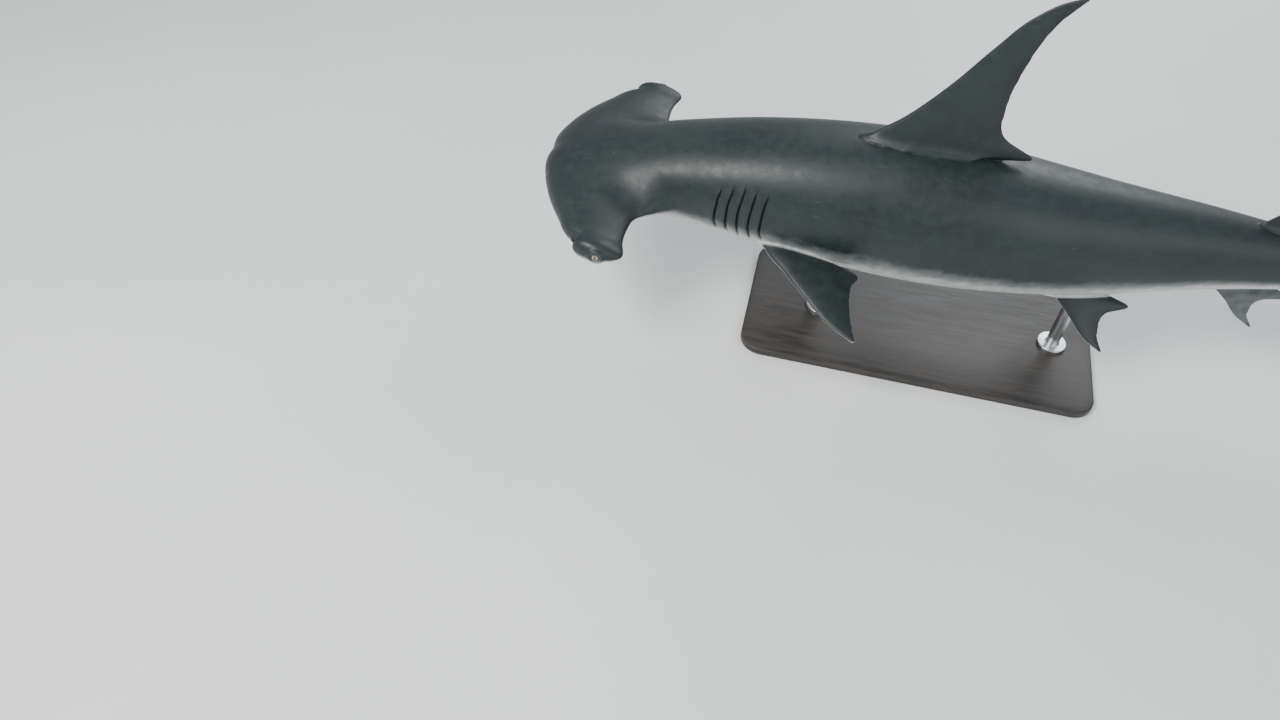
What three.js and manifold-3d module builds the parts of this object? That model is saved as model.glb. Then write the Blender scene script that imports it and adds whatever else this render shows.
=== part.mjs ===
// A great hammerhead shark as a still, life-size museum model, held over a flat base by two rods.
// Millimetres. +X runs from head to tail, +Y to the animal's right side, +Z up.
// The origin is the middle of the base's underside.
// The body is first made straight, with x measured back from the snout and z from the body's axis.
// Its lengths are shares of the total length. The whole animal is then bent and set over the base.
import * as THREE from "three";
import { mergeVertices } from "three/addons/utils/BufferGeometryUtils.js";
import Module from "manifold-3d";

const wasm = await Module();
wasm.setup();

// Driving dimensions
const TOTAL_LENGTH = 4200;
const GAP = 0.3;
const HEAD_HALF_WIDTH = 0.128;
const HAMMER_LEVEL = -0.012;
const SNOUT_X = -1560;
const AXIS_HEIGHT = 618;

// Cuts that part the trunk, as distances from the snout
const HEAD_END = 0.152;
const GILLS_END = 0.214;
const TORSO_END = 0.455;
const HIND_END = 0.6;
const STEM_END = 0.728;
const SPINE_END = 0.945;
const FORK = [0.812, 0.002];

// The trunk: distance from the snout, top, bottom and half width
const TRUNK = [
  [0.028, -0.003, -0.022, 0.014],
  [0.045, 0.0095, -0.031, 0.031],
  [0.065, 0.0175, -0.0355, 0.0385],
  [0.1, 0.03, -0.0395, 0.0455],
  [0.14, 0.0415, -0.0435, 0.05],
  [0.18, 0.051, -0.0485, 0.0545],
  [0.22, 0.0585, -0.0545, 0.0575],
  [0.27, 0.0645, -0.0605, 0.0605],
  [0.32, 0.067, -0.064, 0.062],
  [0.38, 0.064, -0.0645, 0.06],
  [0.45, 0.056, -0.0595, 0.053],
  [0.5, 0.0495, -0.053, 0.0455],
  [0.56, 0.0415, -0.042, 0.036],
  [0.62, 0.034, -0.031, 0.027],
  [0.66, 0.029, -0.0245, 0.0215],
  [0.7, 0.0245, -0.0195, 0.017],
  [0.716, 0.0215, -0.018, 0.0158],
  [0.735, 0.031, -0.0145, 0.0142],
  [0.77, 0.058, 0.009, 0.0115],
  [0.81, 0.0885, 0.049, 0.0088],
  [0.86, 0.124, 0.095, 0.0062],
  [0.91, 0.157, 0.14, 0.0042],
  [0.95, 0.183, 0.176, 0.0028],
];
const TRUNK_ROUNDNESS = 2.15;
const TRUNK_START_BLEND = 0.03;

// The hammer: share of the head's half width, then front margin, rear margin and half thickness
const HAMMER = [
  [0, 0.0015, 0.128, 0.019],
  [0.12, 0.0002, 0.126, 0.0188],
  [0.3, 0.006, 0.112, 0.0175],
  [0.5, 0.0175, 0.0985, 0.0148],
  [0.68, 0.032, 0.0945, 0.0118],
  [0.82, 0.0445, 0.0955, 0.0098],
  [0.885, 0.0555, 0.098, 0.0096],
  [0.94, 0.0535, 0.1, 0.0104],
  [1, 0.056, 0.101, 0.0106],
];
const HAMMER_END_START = 0.86;
const HAMMER_REAR_TAPER = 0.42;
const HAMMER_BLEND = 0.024;

// How far the body's middle line swings sideways, at distances from the snout
const SWING = [
  [0, 0],
  [0.34, 0],
  [0.48, 0.006],
  [0.6, 0.0165],
  [0.72, 0.017],
  [0.84, -0.004],
  [1, -0.052],
];

const share = (part) => part * TOTAL_LENGTH;

// A smooth curve through rows of [position, value], flat beyond its ends.
function curveThrough(rows) {
  const last = rows.length - 1;
  const rise = (i) => (rows[i + 1][1] - rows[i][1]) / (rows[i + 1][0] - rows[i][0]);
  const slopes = rows.map((row, i) => {
    if (i === 0) return rise(0);
    if (i === last) return rise(last - 1);
    const before = row[0] - rows[i - 1][0];
    const after = rows[i + 1][0] - row[0];
    return (rise(i - 1) * after + rise(i) * before) / (before + after);
  });
  return (position) => {
    if (position <= rows[0][0]) return rows[0][1];
    if (position >= rows[last][0]) return rows[last][1];
    let i = 0;
    while (position > rows[i + 1][0]) i++;
    const span = rows[i + 1][0] - rows[i][0];
    const t = (position - rows[i][0]) / span;
    const rest = 1 - t;
    return (
      rows[i][1] * rest * rest * (1 + 2 * t) +
      rows[i + 1][1] * t * t * (3 - 2 * t) +
      span * t * rest * (slopes[i] * rest - slopes[i + 1] * t)
    );
  };
}

const column = (table, n) => curveThrough(table.map((row) => [row[0], row[n]]));
const trunkTop = column(TRUNK, 1);
const trunkBottom = column(TRUNK, 2);
const trunkHalfWidth = column(TRUNK, 3);
const hammerFront = column(HAMMER, 1);
const hammerRear = column(HAMMER, 2);
const hammerHalfThickness = column(HAMMER, 3);
const swing = curveThrough(SWING);

// Where a point of the straight animal goes: it is bent sideways along its middle line
// and set over the base.
function posed(x, y, z) {
  const along = x / TOTAL_LENGTH;
  const STEP = 0.002;
  const slope = (swing(along + STEP) - swing(along - STEP)) / (2 * STEP);
  const size = Math.hypot(1, slope);
  return [
    SNOUT_X + x - (y * slope) / size,
    share(swing(along)) + y / size,
    AXIS_HEIGHT + z,
  ];
}

// Solids

// A closed solid from points and triangles, with its faces turned outwards.
function solidFrom(points, triangles) {
  let volume = 0;
  for (const [a, b, c] of triangles) {
    const [p, q, r] = [points[a], points[b], points[c]];
    volume +=
      p[0] * (q[1] * r[2] - q[2] * r[1]) +
      p[1] * (q[2] * r[0] - q[0] * r[2]) +
      p[2] * (q[0] * r[1] - q[1] * r[0]);
  }
  const outward = volume > 0 ? triangles : triangles.map(([a, b, c]) => [a, c, b]);
  const mesh = new wasm.Mesh({
    numProp: 3,
    vertProperties: new Float32Array(points.flat()),
    triVerts: new Uint32Array(outward.flat()),
  });
  return new wasm.Manifold(mesh);
}

// A solid through rings of points that all have the same count, closed by a fan at each end.
// The second half of each ring is split the other way, so that both faces of a fin are split alike.
function loft(rings) {
  const count = rings[0].length;
  const points = rings.flat();
  const triangles = [];
  for (let i = 0; i + 1 < rings.length; i++) {
    for (let j = 0; j < count; j++) {
      const k = (j + 1) % count;
      const [a, b, c, d] = [i * count + j, i * count + k, (i + 1) * count + k, (i + 1) * count + j];
      if (j < count / 2) triangles.push([a, b, c], [a, c, d]);
      else triangles.push([a, b, d], [b, c, d]);
    }
  }
  for (const [ring, first, turned] of [
    [rings[0], 0, true],
    [rings[rings.length - 1], (rings.length - 1) * count, false],
  ]) {
    const middle = [0, 1, 2].map((n) => ring.reduce((sum, p) => sum + p[n], 0) / count);
    const centre = points.push(middle) - 1;
    for (let j = 0; j < count; j++) {
      const [a, b] = [first + j, first + ((j + 1) % count)];
      triangles.push(turned ? [b, a, centre] : [a, b, centre]);
    }
  }
  return solidFrom(points, triangles);
}

// A solid from a closed three.js geometry.
function solidOf(geometry) {
  const bare = geometry.clone();
  bare.deleteAttribute("normal");
  bare.deleteAttribute("uv");
  const merged = mergeVertices(bare, 1e-3);
  const position = merged.attributes.position;
  const points = Array.from({ length: position.count }, (_, i) => [
    position.getX(i),
    position.getY(i),
    position.getZ(i),
  ]);
  const triangles = [];
  for (let i = 0; i < merged.index.count; i += 3) {
    triangles.push([0, 1, 2].map((n) => merged.index.getX(i + n)));
  }
  return solidFrom(points, triangles);
}

// The largest closed body of a solid.
function largest(solid) {
  return solid.decompose().sort((a, b) => b.volume() - a.volume())[0];
}

// The same solid with each of its points moved.
function moved(solid, place) {
  const mesh = solid.getMesh();
  const points = [];
  for (let i = 0; i < mesh.numVert; i++) {
    const at = i * mesh.numProp;
    points.push(place(mesh.vertProperties[at], mesh.vertProperties[at + 1], mesh.vertProperties[at + 2]));
  }
  const triangles = [];
  for (let i = 0; i < mesh.triVerts.length; i += 3) {
    triangles.push(Array.from(mesh.triVerts.subarray(i, i + 3)));
  }
  return solidFrom(points, triangles);
}

function block(x0, x1, y0, y1, z0, z1) {
  const box = new THREE.BoxGeometry(x1 - x0, y1 - y0, z1 - z0);
  return solidOf(box.translate((x0 + x1) / 2, (y0 + y1) / 2, (z0 + z1) / 2));
}

// Trunk

// A point of the trunk's surface at a distance from the snout and an angle round the axis.
function trunkPoint(along, angle, grown = 0) {
  const top = trunkTop(along);
  const bottom = trunkBottom(along);
  const power = 2 / TRUNK_ROUNDNESS;
  const cos = Math.cos(angle);
  const sin = Math.sin(angle);
  const y = share(trunkHalfWidth(along)) + grown;
  const z = share((top - bottom) / 2) + grown;
  return [
    share(along),
    y * Math.sign(cos) * Math.abs(cos) ** power,
    share((top + bottom) / 2) + z * Math.sign(sin) * Math.abs(sin) ** power,
  ];
}

const TRUNK_SIDES = 28;
const RING_STEP = 78;
const halfGap = GAP / 2 / TOTAL_LENGTH;

// Every ring of the trunk, with one on each side of each cut, so that all that is cut by it fits.
const stations = [];
const cuts = [HEAD_END - 0.04, HEAD_END, GILLS_END, TORSO_END, HIND_END, STEM_END, SPINE_END];
for (let i = 0; i + 1 < cuts.length; i++) {
  const from = cuts[i] + halfGap;
  const to = cuts[i + 1] - halfGap;
  const steps = Math.max(2, Math.round(share(to - from) / RING_STEP));
  for (let n = 0; n <= steps; n++) stations.push(from + ((to - from) * n) / steps);
}

function stationsWithin(from, to) {
  const slack = halfGap / 2;
  return stations.filter((along) => along > from - slack && along < to + slack);
}

function trunkLoft(from, to, grown = 0) {
  return loft(
    stationsWithin(from, to).map((along) =>
      Array.from({ length: TRUNK_SIDES }, (_, j) =>
        posed(...trunkPoint(along, (2 * Math.PI * j) / TRUNK_SIDES, grown)),
      ),
    ),
  );
}

const trunkPart = (from, to) => trunkLoft(from + halfGap, to - halfGap);

// A block that bends with the body, its floor and roof given along it.
function bentBlock(from, to, floor, roof) {
  const wide = share(0.1);
  return loft(
    stationsWithin(from, to).map((along) =>
      [
        [-wide, floor(along)],
        [wide, floor(along)],
        [wide, roof(along)],
        [-wide, roof(along)],
      ].map(([y, z]) => posed(share(along), y, z)),
    ),
  );
}

// Head

// Below zero inside the trunk and above zero outside, in millimetres near the surface.
function trunkField(x, y, z) {
  const along = x / TOTAL_LENGTH;
  const top = trunkTop(along);
  const bottom = trunkBottom(along);
  const halfWidth = share(trunkHalfWidth(along));
  const halfHeight = share((top - bottom) / 2);
  const level = share((top + bottom) / 2);
  const sideways = Math.abs(y) / halfWidth;
  const upward = Math.abs(z - level) / halfHeight;
  const n = TRUNK_ROUNDNESS;
  const out = (sideways ** n + upward ** n) ** (1 / n) - 1;
  const beside = out * Math.min(halfWidth, halfHeight);
  const before = share(TRUNK[0][0]) - x;
  const reach = share(TRUNK_START_BLEND);
  const h = Math.max(0, reach - Math.abs(beside - before)) / reach;
  return Math.max(beside, before) + (h * h * reach) / 4;
}

// The same for the hammer: an aerofoil on each chord, rounded off at its ends.
function hammerField(x, y, z) {
  const across = Math.abs(y) / share(HEAD_HALF_WIDTH);
  const front = share(hammerFront(across));
  const rear = share(hammerRear(across));
  const halfChord = (rear - front) / 2;
  const back = (x - (front + rear) / 2) / halfChord;
  const past = Math.max(0, (across - HAMMER_END_START) / (1 - HAMMER_END_START));
  const taper = 1 - HAMMER_REAR_TAPER * Math.max(-1, Math.min(1, back));
  const halfThickness = share(hammerHalfThickness(across)) * taper;
  const up = (z - share(HAMMER_LEVEL)) / halfThickness;
  const sum = up * up + back * back + past ** 4;
  return (Math.sqrt(sum) - 1) * halfThickness;
}

// Both, run together smoothly.
function headField(x, y, z) {
  const a = trunkField(x, y, z);
  const b = hammerField(x, y, z);
  const reach = share(HAMMER_BLEND);
  const h = Math.max(0, reach - Math.abs(a - b)) / reach;
  return Math.min(a, b) - (h * h * reach) / 4;
}

// The closed surface where a field is zero, on a grid with its own step in each place:
// one point in each cell that the surface crosses and one face round each crossed edge.
function surfaceOf(field, xs, ys, zs) {
  const [nx, ny, nz] = [xs.length, ys.length, zs.length];
  const at = (i, j, k) => (i * ny + j) * nz + k;
  const value = new Float64Array(nx * ny * nz);
  for (let i = 0; i < nx; i++)
    for (let j = 0; j < ny; j++)
      for (let k = 0; k < nz; k++) {
        const edge = i === 0 || i === nx - 1;
        value[at(i, j, k)] = edge ? 1 : field(xs[i], ys[j], zs[k]);
      }
  const corners = [0, 1, 2, 3, 4, 5, 6, 7].map((n) => [n & 1, (n >> 1) & 1, (n >> 2) & 1]);
  const edges = [];
  corners.forEach((p, a) =>
    corners.forEach((q, b) => {
      if (a < b && Math.abs(p[0] - q[0]) + Math.abs(p[1] - q[1]) + Math.abs(p[2] - q[2]) === 1) {
        edges.push([p, q]);
      }
    }),
  );
  const pointOf = new Map();
  const points = [];
  for (let i = 0; i + 1 < nx; i++)
    for (let j = 0; j + 1 < ny; j++)
      for (let k = 0; k + 1 < nz; k++) {
        const sum = [0, 0, 0];
        let crossings = 0;
        for (const [p, q] of edges) {
          const a = value[at(i + p[0], j + p[1], k + p[2])];
          const b = value[at(i + q[0], j + q[1], k + q[2])];
          if (a < 0 === b < 0) continue;
          const t = a / (a - b);
          [xs, ys, zs].forEach((axis, n) => {
            const cell = [i, j, k][n];
            sum[n] += axis[cell + p[n]] * (1 - t) + axis[cell + q[n]] * t;
          });
          crossings++;
        }
        if (crossings) pointOf.set(at(i, j, k), points.push(sum.map((s) => s / crossings)) - 1);
      }
  const triangles = [];
  const face = (inside, a, b, c, d) => {
    const ring = [a, b, c, d].map((n) => pointOf.get(n));
    const [p, q, r, s] = inside ? ring : ring.reverse();
    const gap = (m, n) => Math.hypot(...[0, 1, 2].map((w) => points[m][w] - points[n][w]));
    if (gap(p, r) < gap(q, s)) triangles.push([p, q, r], [p, r, s]);
    else triangles.push([p, q, s], [q, r, s]);
  };
  for (let i = 0; i + 1 < nx; i++)
    for (let j = 0; j + 1 < ny; j++)
      for (let k = 0; k + 1 < nz; k++) {
        const inside = value[at(i, j, k)] < 0;
        if (j && k && inside !== value[at(i + 1, j, k)] < 0) {
          face(inside, at(i, j, k), at(i, j - 1, k), at(i, j - 1, k - 1), at(i, j, k - 1));
        }
        if (i && k && inside !== value[at(i, j + 1, k)] < 0) {
          face(inside, at(i, j, k), at(i, j, k - 1), at(i - 1, j, k - 1), at(i - 1, j, k));
        }
        if (i && j && inside !== value[at(i, j, k + 1)] < 0) {
          face(inside, at(i, j, k), at(i - 1, j, k), at(i - 1, j - 1, k), at(i, j - 1, k));
        }
      }
  return solidFrom(
    points.map((p) => settled(field, p, xs[nx - 1])),
    triangles,
  );
}

// A point moved onto the surface where the field is zero, unless it closes the grid's end.
function settled(field, point, end) {
  const STEP = 0.5;
  let [x, y, z] = point;
  if (x > end - 2 * STEP) return point;
  for (let round = 0; round < 4; round++) {
    const here = field(x, y, z);
    const slope = [
      (field(x + STEP, y, z) - field(x - STEP, y, z)) / (2 * STEP),
      (field(x, y + STEP, z) - field(x, y - STEP, z)) / (2 * STEP),
      (field(x, y, z + STEP) - field(x, y, z - STEP)) / (2 * STEP),
    ];
    const size = Math.max(0.05, slope[0] ** 2 + slope[1] ** 2 + slope[2] ** 2);
    const move = Math.max(-6, Math.min(6, here)) / size;
    x -= slope[0] * move;
    y -= slope[1] * move;
    z -= slope[2] * move;
  }
  return [x, y, z];
}

// Grid lines from one place to another, the step in between given as rows of [place, step].
function gridLines(from, to, steps) {
  const step = curveThrough(steps);
  const lines = [from];
  while (lines[lines.length - 1] < to) {
    const here = lines[lines.length - 1];
    lines.push(here + step(here));
  }
  return lines;
}

function headShell() {
  const halfWidth = share(HEAD_HALF_WIDTH);
  const level = share(HAMMER_LEVEL);
  const xs = gridLines(-20, share(HEAD_END) + 30, [
    [0, 17],
    [share(0.05), 24],
    [share(0.1), 24],
    [share(0.15), 40],
  ]);
  const outward = gridLines(0, halfWidth + 12, [
    [0, 26],
    [halfWidth * 0.7, 30],
    [halfWidth * 0.9, 19],
    [halfWidth, 11],
  ]);
  const ys = [...outward.slice(1).map((y) => -y).reverse(), ...outward];
  const upward = gridLines(0, share(0.06), [
    [0, 11],
    [30, 15],
    [60, 24],
    [200, 32],
  ]);
  const zs = [...upward.slice(1).map((z) => level - z).reverse(), ...upward.map((z) => level + z)];
  const shell = surfaceOf(headField, xs, ys, zs);
  const wide = halfWidth + 100;
  const behind = block(share(HEAD_END) - GAP / 2, share(HEAD_END) + 200, -wide, wide, -500, 500);
  return largest(shell.subtract(behind));
}

// Eyes, at the hammer's ends
const EYE = { radius: 0.0052, along: 0.077, out: 0.1239, lidRadius: 0.0057, lidThickness: 0.0015 };

function eyeBall(side, grown = 0) {
  const ball = new THREE.SphereGeometry(share(EYE.radius) + grown, 14, 10);
  return solidOf(ball.translate(share(EYE.along), side * share(EYE.out), share(HAMMER_LEVEL)));
}

// A raised ring of skin round the eye.
function eyeLid(side) {
  const ring = new THREE.TorusGeometry(share(EYE.lidRadius), share(EYE.lidThickness), 6, 18);
  ring.rotateX(Math.PI / 2);
  return solidOf(ring.translate(share(EYE.along), side * share(EYE.out + 0.0031), share(HAMMER_LEVEL)));
}

// Nostrils, in the notches of the front margin
const NOSTRIL = { across: 0.882, length: 0.0062, height: 0.0021, depth: 0.0042, turn: 0.5 };

function nostril(side) {
  const cut = new THREE.SphereGeometry(1, 10, 8);
  cut.scale(share(NOSTRIL.depth), share(NOSTRIL.length), share(NOSTRIL.height));
  cut.rotateZ(-side * NOSTRIL.turn);
  const x = share(hammerFront(NOSTRIL.across)) - 2;
  const y = side * share(HEAD_HALF_WIDTH * NOSTRIL.across);
  return solidOf(cut.translate(x, y, share(HAMMER_LEVEL - 0.0018)));
}

// Mouth: an arch below the head, slightly open, with lips and a row of upper teeth
const MOUTH = { front: 0.0665, halfWidth: 0.037, back: 0.103, opening: 10, depth: 42 };

// A point on the head's underside, found by walking up from below.
function underside(x, y) {
  let z = -share(0.05);
  while (headField(x, y, z) > 0 && z < 0) z += 1;
  return z;
}

// The mouth's line at a share from its left corner to its right one, and the way across it there.
function mouthAt(t) {
  const angle = Math.PI * (t - 0.5);
  const reach = share(MOUTH.back - MOUTH.front);
  const x = share(MOUTH.front) + reach * (1 - Math.cos(angle) ** 0.8);
  const y = share(MOUTH.halfWidth) * Math.sin(angle);
  const forward = [-Math.cos(angle), Math.sin(angle) * 0.85];
  const size = Math.hypot(...forward);
  return { x, y, forward: forward.map((f) => f / size), z: underside(x, y) };
}

const MOUTH_STEPS = 18;

// A bar that follows the mouth's line. The section's points are [forward, up] from the skin.
function alongMouth(section, from = 0.02, to = 0.98) {
  const rings = [];
  for (let i = 0; i <= MOUTH_STEPS; i++) {
    const t = from + ((to - from) * i) / MOUTH_STEPS;
    const { x, y, z, forward } = mouthAt(t);
    const narrow = Math.sin(Math.PI * t) ** 0.5;
    rings.push(
      section.map(([ahead, up]) => [
        x + forward[0] * ahead * narrow,
        y + forward[1] * ahead * narrow,
        z + up,
      ]),
    );
  }
  return loft(rings);
}

function lip(ahead, radius) {
  const section = [];
  for (let i = 0; i < 6; i++) {
    const angle = (Math.PI * i) / 3;
    section.push([ahead + radius * Math.cos(angle), radius * 0.3 + radius * 0.8 * Math.sin(angle)]);
  }
  return alongMouth(section);
}

const TEETH = { count: 15, height: 15, width: 13, thickness: 5, root: 9 };

// One tooth, a flat triangle that leans a little towards the mouth's corner.
function tooth(t, ahead, up) {
  const { x, y, z, forward } = mouthAt(t);
  const along = [-forward[1], forward[0]];
  const size = 0.6 + 0.4 * Math.sin(Math.PI * t);
  const lean = (t - 0.5) * TEETH.width * 0.7;
  const point = (sideways, deep, height) => [
    x + along[0] * sideways + forward[0] * (ahead + deep),
    y + along[1] * sideways + forward[1] * (ahead + deep),
    z + up + height,
  ];
  const way = up > 0 ? -1 : 1;
  const base = [
    [-1, -1],
    [1, -1],
    [1, 1],
    [-1, 1],
  ];
  const row = (height, narrow, shift) =>
    base.map(([s, d]) =>
      point(
        (s * TEETH.width * size * narrow) / 2 + shift,
        (d * TEETH.thickness * narrow) / 2,
        way * height,
      ),
    );
  return loft([
    row(-TEETH.root, 1, 0),
    row(0, 1, 0),
    row(TEETH.height * size * 0.6, 0.5, -lean * 0.4),
    row(TEETH.height * size, 0.1, -lean),
  ]);
}

function teethRow(ahead, up) {
  const row = [];
  for (let i = 0; i < TEETH.count; i++) {
    row.push(tooth(0.13 + (0.74 * (i + 0.5)) / TEETH.count, ahead, up));
  }
  return row;
}

function head() {
  let solid = headShell();
  const half = MOUTH.opening / 2;
  solid = solid.add(lip(half + 5, 8)).add(lip(-half - 5, 8));
  solid = solid.subtract(
    alongMouth([
      [half, -30],
      [half, 8],
      [half * 0.6, MOUTH.depth],
      [-half * 0.6, MOUTH.depth],
      [-half, 8],
      [-half, -30],
    ]),
  );
  for (const piece of teethRow(half - 1, 10.5)) solid = solid.add(piece);
  for (const side of [-1, 1]) {
    solid = solid.add(eyeLid(side)).subtract(eyeBall(side, GAP)).subtract(nostril(side));
  }
  return largest(solid);
}

// Gill region, with five flaps on each side
const GILLS = { count: 5, first: 0.1655, step: 0.0102, top: 0.62, bottom: -0.62, lift: 7, sunk: 9 };

// A flap whose rear edge stands off the skin over its slit.
function gillFlap(number, side) {
  const reach = 1 - 0.07 * Math.abs(number - 2);
  const rows = 6;
  const section = (i) => {
    const t = i / rows;
    const angle = (GILLS.bottom + (GILLS.top - GILLS.bottom) * t) * reach - 0.08;
    const swell = Math.sin(Math.PI * (0.06 + 0.88 * t)) ** 0.6;
    const lean = 0.004 * Math.sin(Math.PI * t);
    const rear = GILLS.first + GILLS.step * number - lean + 0.002;
    const front = rear - GILLS.step * 0.92;
    const place = (along, out) => {
      const [x, y, z] = trunkPoint(along, angle, out);
      return posed(x, side * y, z);
    };
    return [
      place(front, -GILLS.sunk),
      place(front, -0.5),
      place((front + rear) / 2, GILLS.lift * 0.65 * swell),
      place(rear, GILLS.lift * swell),
      place(rear, -GILLS.sunk),
    ];
  };
  return loft(Array.from({ length: rows + 1 }, (_, i) => section(i)));
}

function gillRegion() {
  let solid = trunkPart(HEAD_END, GILLS_END);
  for (const side of [-1, 1]) {
    for (let i = 0; i < GILLS.count; i++) solid = solid.add(gillFlap(i, side));
  }
  return largest(solid);
}

// Fins

// Half the thickness of a fin along its chord, 1 at its thickest.
const finProfile = (back) => 2.6 * Math.sqrt(back) * (1 - back);

// A fin from its leading and trailing edges: rows of [share of the span, back, outward] from its place
// on the body. The place function sets a point [back, outward, sideways] on the body.
function fin({ lead, trail, root, tip, edge, place, spanSteps = 11, chordSteps = 8 }) {
  const curves = [lead, trail].map((rows) => [column(rows, 1), column(rows, 2)]);
  const rings = [];
  for (let i = 0; i <= spanSteps; i++) {
    const t = i / spanSteps;
    const [front, rear] = curves.map(([back, out]) => [back(t), out(t)]);
    const thick = share(tip + (root - tip) * (1 - t) ** 1.4);
    const ring = [];
    const add = (step, side) => {
      const u = (1 - Math.cos((Math.PI * step) / chordSteps)) / 2;
      const half = thick * finProfile(u) + edge * Math.sqrt(4 * u * (1 - u));
      const back = share(front[0] + (rear[0] - front[0]) * u);
      const out = share(front[1] + (rear[1] - front[1]) * u);
      ring.push(posed(...place(back, out, side * half)));
    };
    for (let step = 0; step < chordSteps; step++) add(step, 1);
    for (let step = chordSteps; step > 0; step--) add(step, -1);
    rings.push(ring);
  }
  return loft(rings);
}

// A fin in the middle plane, from a place [along, height]. Way is 1 for up and -1 for down.
function medianPlaceAt([along, height], way) {
  return (back, out, sideways) => [share(along) + back, sideways, share(height) + way * out];
}

// The same, from the line of the back or the belly.
function medianPlace(along, way) {
  return medianPlaceAt([along, way > 0 ? trunkTop(along) : trunkBottom(along)], way);
}

// One of a pair of fins. Droop and tilt are in radians, and curl bends the tip down.
function pairedPlace({ along, out, level, droop, curl, pitch }, side) {
  return (back, span, sideways) => {
    const fall = droop + curl * (span / share(0.12));
    const across = span * Math.cos(fall) - sideways * Math.sin(fall);
    const down = span * Math.sin(fall) + sideways * Math.cos(fall);
    return [
      share(along) + back,
      side * (share(out) + across),
      share(level) - down - back * Math.sin(pitch),
    ];
  };
}

const FIRST_DORSAL = {
  along: 0.281,
  lead: [
    [0, -0.012, -0.03],
    [0.16, -0.001, 0.001],
    [0.3, 0.024, 0.026],
    [0.5, 0.052, 0.062],
    [0.7, 0.0755, 0.099],
    [0.86, 0.096, 0.128],
    [0.95, 0.1135, 0.1425],
    [1, 0.126, 0.148],
  ],
  trail: [
    [0, 0.101, -0.03],
    [0.12, 0.107, -0.004],
    [0.22, 0.134, 0.003],
    [0.34, 0.107, 0.02],
    [0.5, 0.0995, 0.046],
    [0.7, 0.1035, 0.09],
    [0.86, 0.1135, 0.1235],
    [1, 0.1295, 0.1475],
  ],
  root: 0.0086,
  tip: 0.0012,
  edge: 2,
};

const SECOND_DORSAL = {
  along: 0.617,
  lead: [
    [0, -0.006, -0.012],
    [0.2, 0, 0.001],
    [0.5, 0.0165, 0.021],
    [0.8, 0.031, 0.0385],
    [1, 0.0445, 0.0455],
  ],
  trail: [
    [0, 0.038, -0.012],
    [0.14, 0.041, -0.003],
    [0.28, 0.0735, 0.003],
    [0.45, 0.046, 0.011],
    [0.7, 0.039, 0.028],
    [1, 0.0465, 0.045],
  ],
  root: 0.0042,
  tip: 0.0008,
  edge: 1.6,
  spanSteps: 9,
  chordSteps: 7,
};

const ANAL = {
  along: 0.605,
  lead: [
    [0, -0.006, -0.012],
    [0.2, 0, 0.001],
    [0.5, 0.021, 0.02],
    [0.8, 0.038, 0.037],
    [1, 0.0535, 0.0465],
  ],
  trail: [
    [0, 0.05, -0.012],
    [0.14, 0.053, -0.003],
    [0.28, 0.078, 0.004],
    [0.45, 0.051, 0.0125],
    [0.7, 0.0455, 0.03],
    [1, 0.0555, 0.046],
  ],
  root: 0.0042,
  tip: 0.0008,
  edge: 1.6,
  spanSteps: 9,
  chordSteps: 7,
};

const CAUDAL_UPPER = {
  at: [0.722, 0.0185],
  lead: [
    [0, -0.01, -0.029],
    [0.12, 0.012, 0.006],
    [0.3, 0.066, 0.055],
    [0.55, 0.138, 0.11],
    [0.8, 0.204, 0.153],
    [0.93, 0.2425, 0.1745],
    [1, 0.2675, 0.1875],
  ],
  trail: [
    [0, 0.04, -0.029],
    [0.12, 0.087, -0.024],
    [0.24, 0.1005, 0.002],
    [0.4, 0.138, 0.045],
    [0.6, 0.187, 0.092],
    [0.74, 0.222, 0.12],
    [0.8, 0.2235, 0.1315],
    [0.86, 0.2415, 0.1365],
    [0.94, 0.2585, 0.158],
    [1, 0.2695, 0.1865],
  ],
  root: 0.0052,
  tip: 0.0012,
  edge: 2,
  spanSteps: 16,
};

const CAUDAL_LOWER = {
  at: [0.724, -0.0165],
  lead: [
    [0, -0.004, -0.016],
    [0.15, 0.004, 0.002],
    [0.4, 0.03, 0.036],
    [0.7, 0.0625, 0.079],
    [0.9, 0.089, 0.1045],
    [1, 0.106, 0.112],
  ],
  trail: [
    [0, 0.088, -0.034],
    [0.15, 0.0875, -0.009],
    [0.4, 0.0835, 0.029],
    [0.7, 0.09, 0.077],
    [0.9, 0.1025, 0.1035],
    [1, 0.1085, 0.111],
  ],
  root: 0.006,
  tip: 0.001,
  edge: 1.8,
  spanSteps: 10,
};

const PECTORAL = {
  lead: [
    [0, -0.006, -0.03],
    [0.18, 0, 0.002],
    [0.4, 0.0215, 0.0265],
    [0.65, 0.045, 0.0505],
    [0.88, 0.069, 0.0715],
    [1, 0.0865, 0.0805],
  ],
  trail: [
    [0, 0.05, -0.03],
    [0.12, 0.054, -0.003],
    [0.26, 0.083, 0.011],
    [0.4, 0.08, 0.0245],
    [0.65, 0.0805, 0.0465],
    [0.88, 0.0855, 0.069],
    [1, 0.0893, 0.0797],
  ],
  root: 0.0078,
  tip: 0.0012,
  edge: 2,
};
const PECTORAL_PLACE = { along: 0.212, out: 0.05, level: -0.03, droop: 0.08, curl: 0.14, pitch: 0.06 };

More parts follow.
